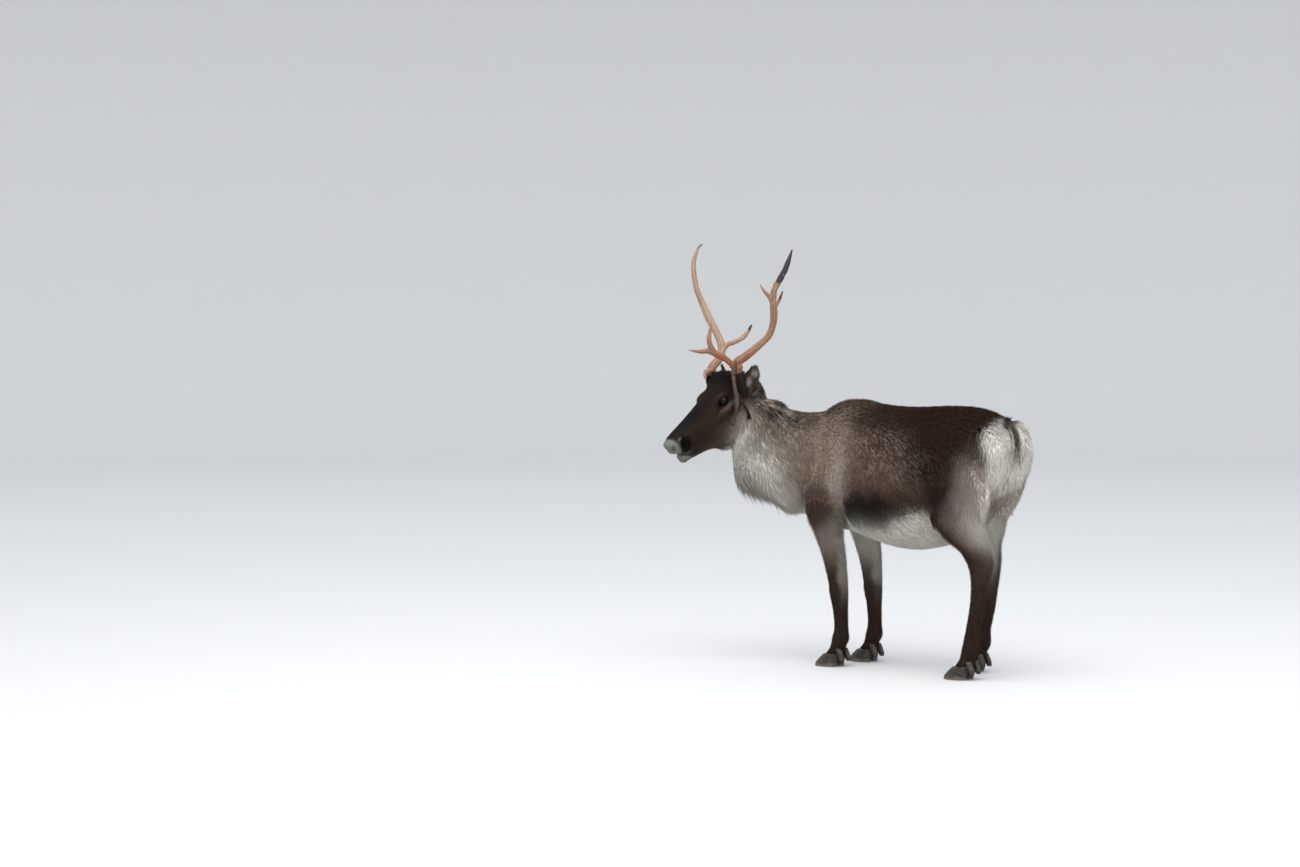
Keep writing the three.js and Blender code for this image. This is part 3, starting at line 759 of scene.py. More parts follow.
def head_markings(points, ahead, half, up):
    """A brown face with a black bridge, a pale muzzle and chin, nostrils painted black as the shade in their
    openings with a painted highlight along each upper rim, the mouth's slit and corners painted dark as the
    shade in them, dark lids with paler skin under them, and a tufted black crown."""
    profile = np.stack([ahead, 0 * half, up], -1)
    rim = near_path(np.stack([ahead, half, up], -1), NOSTRIL_HIGHLIGHT_ARC)
    head = layered(
        FACE,
        (CHEEK, 0.85 * oval(ahead, up, (165, -70), (85, 56), blur=0.25)),
        (BRIDGE, soft(up, 24, 5) * soft(ahead, 190, 24) * soft(-half, -44, 5)),
        (BRIDGE, 0.5 * oval(ahead, up, (120, -20), (44, 60), blur=0.3)),
        (MUZZLE, soft(ahead, np.interp(up, *MUZZLE_EDGE), 3)),
        (CHIN, soft(-up, 52, 3) * soft(ahead, 348, 5)),
        # Painted shade: the nostrils are painted black for the shade in their openings.
        (BLACK_FUR_AND_SHADE, oval(ahead, up, (355, -16), (24, 35), 12, 0.12) * soft(half, 26, 3)),
        # Painted highlight: a pale line along the upper rim of each nostril.
        (MUZZLE, 0.6 * np.exp(-((rim / 4) ** 2))),
        # Painted shade: a small dark spot on each side at the front of the nose.
        (BLACK_FUR_AND_SHADE, 0.6 * oval(ahead, up, (404, -4), (8, 12), 20, 0.2) * soft(half, 14, 4)),
        # Painted shade: the corners of the mouth and the line of its slit are painted dark for the shade in
        # the mouth's groove.
        (BRIDGE, 0.85 * oval(ahead, up, (338, -64), (20, 9), 10, 0.2)),
        (BLACK_FUR_AND_SHADE, 0.95 * np.exp(-((near_path(profile, MOUTH) / 2.6) ** 2))),
    )
    for side in (1, -1):
        out, wide, tall = eye_places(points, side)
        seen = out > -6
        head = layered(
            head,
            (LID_RIM, 0.5 * seen * oval(wide, tall, (8, 22), (26, 8), -8, 0.25)),
            (LID_RIM, 0.15 * seen * oval(wide, tall, (4, -22), (19, 4), 0, 0.25)),
            (LID, 0.95 * seen * soft(-np.hypot(wide / 24.5, tall / 18), -1, 0.06)),
        )
    return layered(
        head,
        (JAW_EDGE, 0.6 * soft(-up, 104 - 0.2 * (ahead - 230), 8)),
        (TUFTED_CROWN, soft(up, 66, 8) * soft(-ahead, -118, 10)),
        (TUFTED_CROWN, 0.95 * oval(ahead, up, (66, 14), (34, 66), 0, 0.2)),
    )


def tail_markings(frayed, normals):
    """A white tail with a brown stripe down its left side and a dark root."""
    x, y, z = frayed.T
    return layered(
        RUMP,
        (TAIL_STRIPE, soft(-np.abs(y - 32), -17, 3) * soft(normals[:, 1] - normals[:, 0], 0.2, 0.15)),
        (SADDLE, soft(z, 864, 5) * soft(-np.abs(y - 8), -30, 5)),
    )


def ear_markings(points, normals, left):
    """Dark ears with two pale tufts inside each."""
    ears = EAR_BACK
    for side in (1, -1):
        foot, stand, across, opening = ear_axes(side)
        high = (points - foot) @ stand / EAR_LENGTH
        wide = (points - foot) @ across / EAR_LENGTH
        tufts = oval(high, wide, (0.74, 0.08), (0.16, 0.11)) + oval(high, wide, (0.3, -0.05), (0.18, 0.1))
        ears = layered(ears, (EAR_INNER, soft(left * side, 0, 4) * soft(normals @ opening, 0.1, 0.1) * tufts))
    return ears


def leg_markings(name, frayed, normals):
    """Dark legs with pale insides: the foreleg has a pale strip down its back, and the hind leg a dark front
    to its thigh and a pale back."""
    x, y, z = frayed.T
    rows, side, _, _ = LEGS[name]
    slices = rows_between(leg_rows(name), 60)[::-1]
    middle = np.interp(z, slices[:, 2], slices[:, 0])
    back = (middle - x) / np.interp(z, slices[:, 2], slices[:, 6])
    if rows is FORELEG:
        leg = layered(
            LEG_DARK,
            (UPPER_ARM, soft(z, 360, 34)),
            (BAND, 0.75 * oval(x, z, (282, 474), (80, 72), blur=0.25)),
            (LEG_PALE, 0.9 * soft(back, 0.5, 0.1) * soft(z, 285, 20)),
            (UPPER_ARM, upper_arm(x, z)),
        )
    else:
        leg = layered(
            HIND_SHANK,
            (LEG_DARK, soft(-z, -350, 40)),
            (THIGH, 0.9 * soft(-back, 0.1, 0.3) * soft(z, 440, 50)),
            (BUTTOCK, 0.9 * soft(back, 0.1, 0.2) * soft(z, 470, 22)),
            (RUMP, 0.8 * soft(back, 0.62, 0.18) * soft(z, 468, 20)),
        )
    return layered(leg, (BELLY, 0.75 * soft(-normals[:, 1] * side, 0.35, 0.12) * soft(z, 400, 30)))


def upper_arm(x, z):
    """How deep a place lies in the dark patch over the upper arm."""
    return oval(x, z, (347, 588), (74, 74), -10)


def markings(points, normals, share, along):
    """The coat's colour at points of the drawing, as light from 0 to 1, and how frosted its tips are. Each
    marking is a soft oval or a soft edge laid over the one before, alike on both sides, with its outline
    frayed by noise."""
    frayed = points + np.stack([noise(points, 46, k) for k in (1, 2, 3)], -1) * 14
    x, y, z = frayed.T
    part = dict(zip(NAMES, share.T))
    arm = upper_arm(x, z) * soft(np.abs(y), 60, 10)
    neck, top = neck_markings(frayed, along[:, NAMES.index("neck")], arm)
    ahead, left, up = face_places(points + 0.35 * (frayed - points))
    half = np.abs(left)
    past_face = ahead - np.interp(-up, *FACE_EDGE)
    skull = layered(
        neck,
        (CHEEK, 0.75 * soft(past_face, -46, 18) * soft(-half, -110, 5)),
        (head_markings(points, ahead, half, up), soft(past_face, 0, 7)),
    )
    groups = [
        (trunk_markings(points, frayed, normals, arm), part["trunk"]),
        (skull, part["neck"] + part["head"]),
        (tail_markings(frayed, normals), part["tail"]),
        (ear_markings(points, normals, left), part["ear_left"] + part["ear_right"]),
    ]
    groups += [(leg_markings(name, frayed, normals), part["leg_" + name]) for name in LEGS]
    shoulders = 0.9 * oval(x, z, (300, 800), (110, 100), blur=0.3) * (part["trunk"] + part["neck"])
    flanks = 0.8 * oval(x, z, (40, 770), (170, 60), 12, 0.3) * part["trunk"]
    frost = np.maximum(np.maximum(flanks, shoulders), 0.5 * top * part["neck"])
    return sum(colours * amount[:, None] for colours, amount in groups), frost


# The hide's mesh: the voxel in metres, the rounds of smoothing and the share of its triangles that is kept
SKIN_VOXEL = 0.0036
SKIN_ROUNDS = 34
KEPT_FACES = 0.3
skin = mesh_object("skin", *carved_form())
with_modifier(skin, "REMESH", mode="VOXEL", voxel_size=SKIN_VOXEL)
points, _, faces = arrays_of(skin.data)
points = drawn(points)
part = dict(zip(NAMES, region_places(points)[0].T))
melt = 0.62 * np.clip(part["trunk"] + part["neck"] + part["tail"], 0, 1) + 0.2
points = relaxed(points, faces, SKIN_ROUNDS, melt * (0.35 + 0.65 * (1 - part["head"])))
points = sculpted(points, normals_of(points, faces))
points = relaxed(points, faces, 2, 0.4)
skin.data.vertices.foreach_set("co", placed(points).astype(np.float32).ravel())
# The face keeps its fine mesh: the weight in steps of a tenth says how plain a place is.
detail = skin.vertex_groups.new(name="plain")
plain = np.round(np.clip(1 - 0.97 * part["head"], 0, 1), 1)
for level in np.unique(plain):
    detail.add(np.nonzero(plain == level)[0].tolist(), float(level), "REPLACE")
with_modifier(skin, "DECIMATE", ratio=KEPT_FACES, vertex_group="plain", vertex_group_factor=1.0)
body_points, _, body_faces = arrays_of(skin.data)
extras = [ear(1), ear(-1), lids(1), lids(-1)]
hide_points, hide_faces = together([(drawn(body_points), body_faces), *extras])
hide_normals = normals_of(hide_points, hide_faces)
bpy.data.objects.remove(skin)
skin = mesh_object("skin", placed(hide_points), hide_faces)
hide_share, hide_along, _ = region_places(hide_points)
hide_colour, _ = markings(hide_points, hide_normals, hide_share, hide_along)


def give_colour(piece, colours):
    """Keeps a colour for each point of the piece, which its material reads as the attribute "fur"."""
    kept = piece.data.color_attributes.new("fur", "FLOAT_COLOR", "POINT")
    opaque = np.column_stack([colours, np.ones(len(colours))])
    kept.data.foreach_set("color", opaque.astype(np.float32).ravel())


class Nodes:
    """A material's nodes, added and joined by name."""

    def __init__(self, name):
        self.material = bpy.data.materials.new(name)
        self.material.use_nodes = True
        self.tree = self.material.node_tree
        self.shader = self.tree.nodes["Principled BSDF"]

    def add(self, kind, settings=None, **inputs):
        """A new node with its settings, and its sockets by their names with _ for each space."""
        node = self.tree.nodes.new("ShaderNode" + kind)
        for key, value in (settings or {}).items():
            setattr(node, key, value)
        for key, value in inputs.items():
            self.put(node, key.replace("_", " "), value)
        return node

    def put(self, node, socket, value):
        """Joins a socket to another node's output, or sets its value."""
        if isinstance(value, bpy.types.NodeSocket):
            self.tree.links.new(value, node.inputs[socket])
        else:
            node.inputs[socket].default_value = value

    def finish(self, **inputs):
        """Puts the last values on the shader and gives the material."""
        for key, value in inputs.items():
            self.put(self.shader, key.replace("_", " "), value)
        return self.material


def fur_material(name, roughness):
    """The coat's colour from its attribute, broken by fine strands, with the soft sheen of hollow winter
    hair."""
    nodes = Nodes(name)
    colour = nodes.add("Attribute", {"attribute_name": "fur"})
    place = nodes.add("TexCoord")
    fine = nodes.add("TexNoise", Vector=place.outputs["Object"], Scale=420.0, Detail=3.0)
    shade = nodes.add("MapRange", Value=fine.outputs["Fac"], To_Min=0.72, To_Max=1.28)
    tinted = nodes.add("VectorMath", {"operation": "SCALE"})
    nodes.put(tinted, 0, colour.outputs["Color"])
    nodes.put(tinted, 3, shade.outputs["Result"])
    bump = nodes.add("Bump", Height=fine.outputs["Fac"], Strength=0.35, Distance=0.0015)
    return nodes.finish(
        Base_Color=tinted.outputs["Vector"], Roughness=roughness, Normal=bump.outputs["Normal"],
        Sheen_Weight=0.008, Sheen_Roughness=0.5, Specular_IOR_Level=0.08,
    )


give_colour(skin, hide_colour * 0.95)
skin.data.materials.append(fur_material("hide", 0.8))
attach(skin, "root")
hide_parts("trunk", "neck", "head", "tail", "ear_left", "ear_right", *("leg_" + leg for leg in LEGS))


# Coat: the winter fur, in locks that stand on the skin and lie back along the body. Each lock is a thin
# Three-sided spike: it starts under the skin, rises to the coat's depth and runs out to a point. Long soft
# Locks hang from the throat and fringe the tail; the face and feet have short fine ones.
COAT = {
    # length, depth of the coat over the skin and width of a lock
    "trunk": (44, 19, 4.7),
    "neck": (56, 18, 4.0),
    "head": (13, 3.6, 2.5),
    "tail": (50, 9, 4.0),
    "leg": (19, 4.4, 3.0),
    "ear": (9, 1.8, 1.9),
}
NOSTRIL_SLIT = [(352, 47, 8), (358, 47, -6), (368, 42, -20)]
NOSTRIL_WIDE = 7.5


def coat_measures(points, normals, share, along):
    """Each root's lock length, depth and width: a blend of its regions' own, and then for each place on the
    body in turn what is added to them and what share is taken off them there."""
    table = np.array([COAT[name.split("_")[0]] for name in NAMES], float)
    part = dict(zip(NAMES, share.T))
    head, neck, trunk = part["head"], part["neck"], part["trunk"]
    legs = sum(part["leg_" + name] for name in LEGS)
    neck_place = along[:, NAMES.index("neck")]
    x, y, z = points.T
    facing_up = normals[:, 2]
    ahead, left, up = face_places(points)
    cupped = sum(part[name] * soft(normals @ ear_axes(s)[3], 0.2, 0.1) for name, s in EAR_SIDES.items())
    lids_near = []
    for side in (1, -1):
        out, wide, tall = eye_places(points, side)
        lids_near.append(np.exp(-((np.hypot(wide / 30, tall / 24)) ** 4)) * (out > 0))
    none = (0, 0, 0)
    mane = (neck**4 * soft(-facing_up, -0.1, 0.2), (62, 13, 0), none)
    nape = (neck * soft(facing_up, 0.3, 0.15), (-16, -3, 0), none)
    belly = (trunk * soft(-facing_up, 0.3, 0.15), (8, 6, 0), none)
    rump = (trunk * soft(-x, 350, 12), (6, 0, 0), none)
    dock = (soft(z, 842, 10) * soft(-x, 384, 8), none, (0.8, 0.9, 0))
    nose = (head * np.clip((ahead - 120) / 260, 0, 1), none, (0.62, 0.7, 0.35))
    crest = (head * soft(up, 62, 8) * soft(-ahead, -112, 12), (12, 3, 0), none)
    jowl = (head * soft(-ahead, -120, 25) * soft(-up, 20, 20), (5, 1, 0), none)
    meeting = (4 * neck * head, (-16, -5, -0.8), none)
    jaw_corner = (neck * soft(ahead, 140, 20) * soft(up, -205, 16), none, (0.6, 0.85, 0))
    tuft = (neck * soft(neck_place, 0.62, 0.06) * soft(facing_up, 0.3, 0.15), (14, 9, 0), none)
    shoulder = (4 * neck * trunk * soft(-facing_up, -0.55, 0.08), (-16, -8, 0), none)
    thigh = (legs * np.clip((z - 300) / 260, 0, 1), (22, 12, 1.2), none)
    foot = (legs * soft(-z, -74, 8), (8, 0, 0), none)
    eyelids = [(near, none, (0.55, 0.75, 0.3)) for near in lids_near]
    ear_cup = (cupped, (5, 0, 0), none)
    body = [mane, nape, belly, rump, dock]
    face = [nose, crest, jowl, meeting, jaw_corner, tuft]
    measures = share @ table
    for where, more, less in [*body, *face, shoulder, thigh, foot, *eyelids, ear_cup]:
        measures = measures * (1 - where[:, None] * less) + where[:, None] * more
    return measures.T


def lie_of_coat(points, normals, share, ahead):
    """The way the hair points at each root: back along the trunk and down its sides, back from the nose over
    the face, from the jaw to the chest under the neck, down the legs and tail and up the ears. It is laid on
    the skin by taking its part along the normal away."""
    x, y, z = points.T
    down = np.array([0.0, 0.0, -1.0])
    total = np.zeros_like(points)
    for k, name in enumerate(NAMES):
        if name == "trunk":
            falling = 0.75 * np.abs(normals[:, 1]) + 2.2 * soft(-x, 345, 16)
            way = np.array([-1.0, 0.0, -0.1]) + down * falling[:, None]
            way = way + np.stack([x * 0, 0.5 * np.sign(y) * soft(-x, 372, 10), x * 0], -1)
        elif name == "neck":
            way = -ahead[:, k] + down * (0.25 + 0.9 * soft(-normals[:, 2], -0.3, 0.2))[:, None]
        elif name == "head":
            way = -face_ahead + down * 0.25
        elif name == "tail":
            way = ahead[:, k] + 0.5 * np.stack([x * 0, np.sign(y), x * 0], -1)
        elif name.startswith("leg"):
            way = ahead[:, k] + np.stack([-0.25 * np.ones_like(x), x * 0, x * 0], -1)
        else:
            foot, stand, across, _ = ear_axes(EAR_SIDES[name])
            way = stand + np.sign((points - foot) @ across)[:, None] * across * 0.25
        total += way * share[:, k : k + 1]
    swirl = np.stack([noise(points, 60, 20 + k) for k in range(3)], -1)
    total = total / np.maximum(np.linalg.norm(total, axis=1), 1e-6)[:, None] + 0.22 * swirl
    total -= normals * (total * normals).sum(1)[:, None]
    return total / np.maximum(np.linalg.norm(total, axis=1), 1e-6)[:, None]


def without_fur(points):
    """Where no lock grows: between the lids, in the nostrils and on the horn's edge of the feet."""
    ahead, left, up = face_places(points)
    bare = points[:, 2] < CORONET + 2
    for side in (1, -1):
        out, wide, tall = eye_places(points, side)
        bare |= (out > -2) & (np.hypot((wide - 3) / (LID_LONG + 7), tall / (LID_TALL + 4)) < 1)
    return bare | (near_path(np.stack([ahead, np.abs(left), up], -1), NOSTRIL_SLIT) < NOSTRIL_WIDE)


def scattered(faces_wanted, count, seed):
    """Seeded random roots on the chosen faces of the skin, evenly by area: the running sum of the areas is
    cut into equal steps, and a root falls at random inside each. Gives the roots, the normals and the
    generator."""
    rng = np.random.default_rng(seed)
    corners = hide_faces[faces_wanted]
    a, b, c = (hide_points[corners[:, k]] for k in range(3))
    area = np.cumsum(np.linalg.norm(np.cross(b - a, c - a), axis=1))
    pick = np.searchsorted(area, (np.arange(count) + rng.random(count)) / count * area[-1])
    corners = corners[np.minimum(pick, len(corners) - 1)]
    first, second = rng.random((2, count))
    flip = first + second > 1
    first, second = np.where(flip, 1 - first, first), np.where(flip, 1 - second, second)
    weights = np.stack([1 - first - second, first, second], -1)[..., None]
    root, normal = ((values[corners] * weights).sum(1) for values in (hide_points, hide_normals))
    return root, normal / np.linalg.norm(normal, axis=1)[:, None], rng


def unwrapped(normals, share, along):
    """Each root's region, and its place from 0 to 1 on the region's own unwrap: the way along the region's
    middle line, and the turn around it by the skin's normal."""
    owner = share.argmax(1)
    across = np.arctan2(normals[:, 1], normals[:, 2]) / (2 * np.pi) + 0.5
    legs = np.arctan2(normals[:, 1], normals[:, 0]) / (2 * np.pi) + 0.5
    return owner, along[np.arange(len(owner)), owner], np.where(owner >= 4, legs, across)


# A lock's patch of the unwrap, as a share of it, and how far its first ring lies under the skin
PATCH = 0.003
ROOT_DEPTH = 1.5


def lock_points(root, normal, lie, side, measures, steps):
    """Each lock's points. Its ring at s from 0 to 1 is centred on root + lie L s + normal D (1 - (1 - s)^2),
    three points across: left, right and a ridge. The first ring lies under the skin, and they narrow to a
    point."""
    length, depth, width = measures
    rings = []
    for s in steps:
        rise = depth * (1 - (1 - s) ** 2) - ROOT_DEPTH * (s == 0)
        centre = root + lie * (length * s)[:, None] + normal * rise[:, None]
        half = (width * (0.35 if s == 0 else 0.5) * min(1.0, 1.75 * (1 - s)))[:, None]
        rings.append(np.stack([centre - side * half, centre + side * half, centre + normal * 0.4 * half], 1))
    tip = root + lie * length[:, None] + normal * depth[:, None]
    return np.concatenate([*rings, tip[:, None]], 1)


def lock_faces(rings):
    """One lock's triangles: one that closes its foot, two a side from ring to ring and three up to its
    point."""
    faces = [[0, 1, 2]]
    for k in range(rings - 1):
        for j in range(3):
            a, b = 3 * k + j, 3 * k + (j + 1) % 3
            faces += [[a, a + 3, b + 3], [a, b + 3, b]]
    last = 3 * (rings - 1)
    return np.array(faces + [[last + j, last + 3, last + (j + 1) % 3] for j in range(3)])


def lock_colours(root, normal, share, along, steps, rng):
    """The markings at each root, lighter or darker from lock to lock and from clump to clump, darker towards
    the root, partly the greyer base of the hair and partly painted shade where the locks cover each other, a
    little lighter at the tip, and frosted white towards the tips of some locks."""
    colour, frost = markings(root, normal, share, along)
    nape = share[:, NAMES.index("neck")] * soft(normal[:, 2], 0.35, 0.12)
    grizzled = 0.1 + 0.1 * share[:, NAMES.index("head")] + 0.05 * frost + 0.16 * nape
    tone = rng.normal(0, 1, len(root)) * grizzled + 0.1 * noise(root, 14, 7) + 0.05 * noise(root, 60, 8)
    pale = (rng.random(len(root)) < 0.3 + 0.25 * noise(root, 26, 9)) * frost
    # Painted shade: each lock's rings darken towards its root, where the locks cover each other, partly also
    # the greyer base of the hair; its point is a little lighter.
    outward = np.append(np.repeat(steps, 3), 1.0)[:, None]
    shade = np.where(outward < 1, 0.82 + 0.18 * np.minimum(1, 2 * outward), 1.08)
    colours = (colour * np.exp(tone)[:, None])[:, None] * shade
    whiten = 0.6 * pale[:, None, None] * outward
    return np.clip(colours + (FROST - colours) * whiten, 0, 1)


def give_patches(piece, faces, places, steps):
    """The UV map OFBake, in which each lock is a small patch at its root's place on the skin's unwrap: its
    rings lie above each other in it and its point on top. The regions' tiles are four across and three
    up."""
    owner, t, turn = places
    tile = np.stack([(owner % 4) / 4 + 0.01 + 0.23 * t, (owner // 4) / 3 + 0.01 + 0.31 * turn], -1)
    spot = [[(j - 1) * PATCH / 2, s * PATCH] for s in steps for j in (0, 2, 1)] + [[0, PATCH]]
    corners = (tile[:, None] + np.array(spot)).reshape(-1, 2)[faces.ravel()]
    piece.data.uv_layers.new(name="OFBake").uv.foreach_set("vector", corners.astype(np.float32).ravel())


def locks(name, faces_wanted, count, seed, steps):
    """One piece of coat: locks scattered over the chosen faces of the skin, each a little different."""
    root, normal, rng = scattered(faces_wanted, count, seed)
    keep = ~without_fur(root)
    root, normal = root[keep], normal[keep]
    share, along, ahead = region_places(root)
    count = len(root)
    length, depth, width = coat_measures(root, normal, share, along)
    lie = lie_of_coat(root, normal, share, ahead)
    length = length * rng.uniform(0.72, 1.18, count)
    depth = depth * rng.uniform(0.55, 1.05, count)
    width = width * rng.uniform(0.7, 1.2, count)
    side = np.cross(lie, normal)
    lie = lie + side * rng.normal(0, 0.13, count)[:, None]
    points = lock_points(root, normal, lie, side, (length, depth, width), steps)
    colours = lock_colours(root, normal, share, along, steps, rng)
    faces = (np.arange(count)[:, None, None] * points.shape[1] + lock_faces(len(steps))).reshape(-1, 3)
    piece = mesh_object(name, placed(points.reshape(-1, 3)), faces)
    give_patches(piece, faces, unwrapped(normal, share, along), steps)
    give_colour(piece, colours.reshape(-1, 3))
    piece.data.materials.append(fur)
    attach(piece, "root")
    return piece


fur = fur_material("winter fur", 0.62)
middle = hide_points[hide_faces].mean(1)
owner = region_places(middle)[0].argmax(1)
on = {name: owner == k for k, name in enumerate(NAMES)}
left_side = middle[:, 1] > 0
fore_half = middle[:, 0] > 10
upper_neck = hide_normals[hide_faces[:, 0]][:, 2] > 0.1
front_legs = on["leg_front_left"] | on["leg_front_right"]
hind_legs = on["leg_hind_left"] | on["leg_hind_right"]
STRAIGHT = (0.0,)
BENT = (0.0, 0.5)
# Name, the skin's faces under it, number of locks, slot and the rings of a lock
coat_pieces = [
    ("coat_trunk_left_fore", on["trunk"] & left_side & fore_half, 18500, "trunk_coat", BENT),
    ("coat_trunk_left_rear", on["trunk"] & left_side & ~fore_half, 19500, "trunk_coat", BENT),
    ("coat_trunk_right_fore", on["trunk"] & ~left_side & fore_half, 15500, "trunk_coat", BENT),
    ("coat_trunk_right_rear", on["trunk"] & ~left_side & ~fore_half, 16500, "trunk_coat", BENT),
    ("coat_neck_upper", on["neck"] & upper_neck, 17500, "neck_coat", BENT),
    ("coat_neck_lower", on["neck"] & ~upper_neck, 16000, "neck_coat", BENT),
    ("coat_head", on["head"], 44000, "head_coat", STRAIGHT),
    ("coat_ears", on["ear_left"] | on["ear_right"], 12000, "ear_coat", STRAIGHT),
    ("coat_legs_front", front_legs, 24000, "leg_coat", STRAIGHT),
    ("coat_legs_hind", hind_legs, 30000, "leg_coat", STRAIGHT),
    ("coat_tail", on["tail"], 3000, "tail_coat", BENT),
]
for seed, (name, wanted, count, slot, steps) in enumerate(coat_pieces):
    locks(name, wanted, count, seed + 11, steps)


# Eyes: large, dark and wet, set deep in the sides of the head. The ball swells into the clear cornea in
# Front, over a brown iris with a wide level pupil, and darkens where it meets the lids.
CORNEA_BULGE = 1.5
CORNEA_WIDE = 0.62
IRIS_WIDE = 0.66
EYE_WHITE = paint(24, 17, 15)
IRIS = paint(26, 19, 15)
PUPIL = paint(6, 7, 10)


def eyeball(name, side):
    """A ball round the gaze: R + bulge e^-(t / wide)^4 at the angle t from the gaze, its rings closed at
    both poles."""
    middle, gaze, length, height = eye_axes(side)
    t = np.linspace(0.02, np.pi - 0.02, 56)[:, None]
    turn = np.linspace(0, 2 * np.pi, 64, endpoint=False)[None] * side
    radius = EYE_RADIUS + CORNEA_BULGE * np.exp(-((t / CORNEA_WIDE) ** 4))
    ways = np.stack([np.cos(t) + 0 * turn, np.sin(t) * np.cos(turn), np.sin(t) * np.sin(turn)], -1)
    rings = middle + radius[..., None] * (ways @ np.stack([gaze, length, height]))
    points, faces = skin_over(rings[::-1])
    piece = mesh_object(name, placed(points), faces)
    ahead, across, up = eye_places(points, side)
    angle = np.arctan2(np.hypot(across, up), ahead)
    rays = noise(np.stack([np.arctan2(up, across) * 9, angle * 3, ahead * 0], -1), 1.0, 4)
    iris = IRIS * (1 + 0.35 * rays[:, None])
    slit = np.hypot(across / (0.62 * EYE_RADIUS), up / (0.36 * EYE_RADIUS))
    pupil = soft(1 - slit, 0, 0.05) * (ahead > 0)
    give_colour(piece, layered(EYE_WHITE, (iris, soft(IRIS_WIDE - angle, 0, 0.03)), (PUPIL, pupil)))
    return piece


def eye_material():
    """A wet dark ball: its colour from the attribute under a clear glossy coat."""
    nodes = Nodes("wet eye")
    colour = nodes.add("Attribute", {"attribute_name": "fur"})
    place = nodes.add("TexCoord")
    veins = nodes.add("TexNoise", Vector=place.outputs["Object"], Scale=900.0, Detail=2.0)
    rough = nodes.add("MapRange", Value=veins.outputs["Fac"], To_Min=0.04, To_Max=0.12)
    return nodes.finish(
        Base_Color=colour.outputs["Color"], Roughness=rough.outputs["Result"], Specular_IOR_Level=0.2,
        Coat_Weight=0.15, Coat_Roughness=0.02, IOR=1.34,
    )


wet_eye = eye_material()
for name, side in (("left", 1), ("right", -1)):
    piece = eyeball("eyeball_" + name, side)
    piece.data.materials.append(wet_eye)
    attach(piece, "root")
    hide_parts("eye_" + name)


# Antlers: bare bone, freshly rubbed out of its velvet and stained tan and rust. Each grew as one branching
# Piece from a knobbly burr, fluted along its length by the vessels that fed it, and polished at the tips.
# For each branch: its path, the radius along it and how flat it is.
ANTLERS = {
    "left": {
        "beam": (
            [
                [-11, 67, 10], [-10, 68, 36], [-10, 69, 56], [-40, 84, 80],
                [-76, 120, 121], [-94, 148, 154], [-96, 174, 212], [-76, 198, 270],
            ],
            [17, 16, 15, 13, 12.5, 12, 13.5, 12],
            1.0,
        ),
        "brow": (
            [[-2, 61, 34], [24, 56, 62], [62, 46, 84], [94, 41, 96], [128, 35, 94], [171, 27, 100]],
            [11, 11, 13, 10, 7, 2.5],
            1.0,
        ),
        "brow_upper": ([[70, 44, 88], [90, 47, 114], [99, 52, 146], [91, 58, 199]], [11, 10, 7, 2.5], 1.0),
        "crown": (
            [[-79, 196, 262], [-73, 210, 310], [-85, 226, 346], [-104, 242, 396], [-125, 248, 458]],
            [12, 12, 11, 9, 2.5],
            1.4,
        ),
        "crown_front": (
            [[-80, 197, 258], [-60, 200, 289], [-36, 202, 309], [-18, 203, 333]],
            [10, 8.5, 6, 2.5],
            1.0,
        ),
        "crown_back": ([[-84, 190, 244], [-100, 201, 276], [-111, 208, 309]], [8, 6, 2.5], 1.0),
    },
    "right": {
        "beam": (
            [
                [15, -68, -4], [14, -69, 18], [8, -70, 36], [-34, -82, 74],
                [-53, -104, 108], [-53, -134, 152], [-42, -166, 203], [-28, -200, 270],
            ],
            [17, 16, 15, 14, 13.5, 14, 14, 12],
            1.0,
        ),
        "crown": (
            [
                [-30, -194, 258], [-20, -216, 305], [-17, -234, 360],
                [-22, -246, 415], [-42, -248, 463], [-58, -244, 480],
            ],
            [12, 10, 9.5, 9, 7, 3],
            1.0,
        ),
        "back": (
            [[-44, -92, 88], [-74, -100, 114], [-110, -103, 124], [-154, -106, 146], [-184, -106, 186]],
            [11, 9.5, 9, 8, 2.5],
            1.0,
        ),
        "brow": ([[22, -61, 18], [37, -60, 22], [47, -58, 8], [44, -56, -8]], [10, 8.5, 7, 4], 1.0),
    },
}
BURR_HEIGHT = {"left": 26.0, "right": 10.0}
# The antlers' voxel in metres
ANTLER_VOXEL = 0.0018
BONE = paint(152, 120, 95)
BONE_RUST = paint(138, 86, 60)
BONE_PALE = paint(174, 152, 128)
GROOVE = paint(92, 62, 46)
OLD_VELVET = paint(48, 38, 38)


def burr(side):
    """The knobbly ring at an antler's foot: a ring of a round section whose height and reach are
    roughened."""
    foot = np.array(ANTLERS[side]["beam"][0][0], float)
    rise = np.array([0.0, 0.0, BURR_HEIGHT[side]])
    path = [foot + rise * k for k in (0.55, 0.8, 1.0, 1.2, 1.45)]
    return skin_over(rod(antler_point(path), [15, 19, 21, 19, 15], 10))


def kept_velvet(side, names, share, turn, ragged):
    """How far each point still carries dark velvet: over the left antler's crown and the back point of it,
    and over the right one's back branch and the tip and one flank of its crown, all with ragged edges."""
    if side == "left":
        back = (names == "crown_back") * soft(share + 0.2 * ragged, 0.55, 0.05) * 0.8
        return np.maximum((names == "crown") * soft(share + 0.16 * ragged, 0.4, 0.03), back)
    flank = soft(np.cos(turn + 0.6) + 0.5 * ragged, 0.75, 0.06) * 0.5
    tip = soft(share + 0.08 * ragged, 0.93, 0.02) * 0.7
    back = (names == "back") * soft(share + 0.12 * ragged, 0.8, 0.04)
    return np.maximum(back, (names == "crown") * np.maximum(flank, tip))


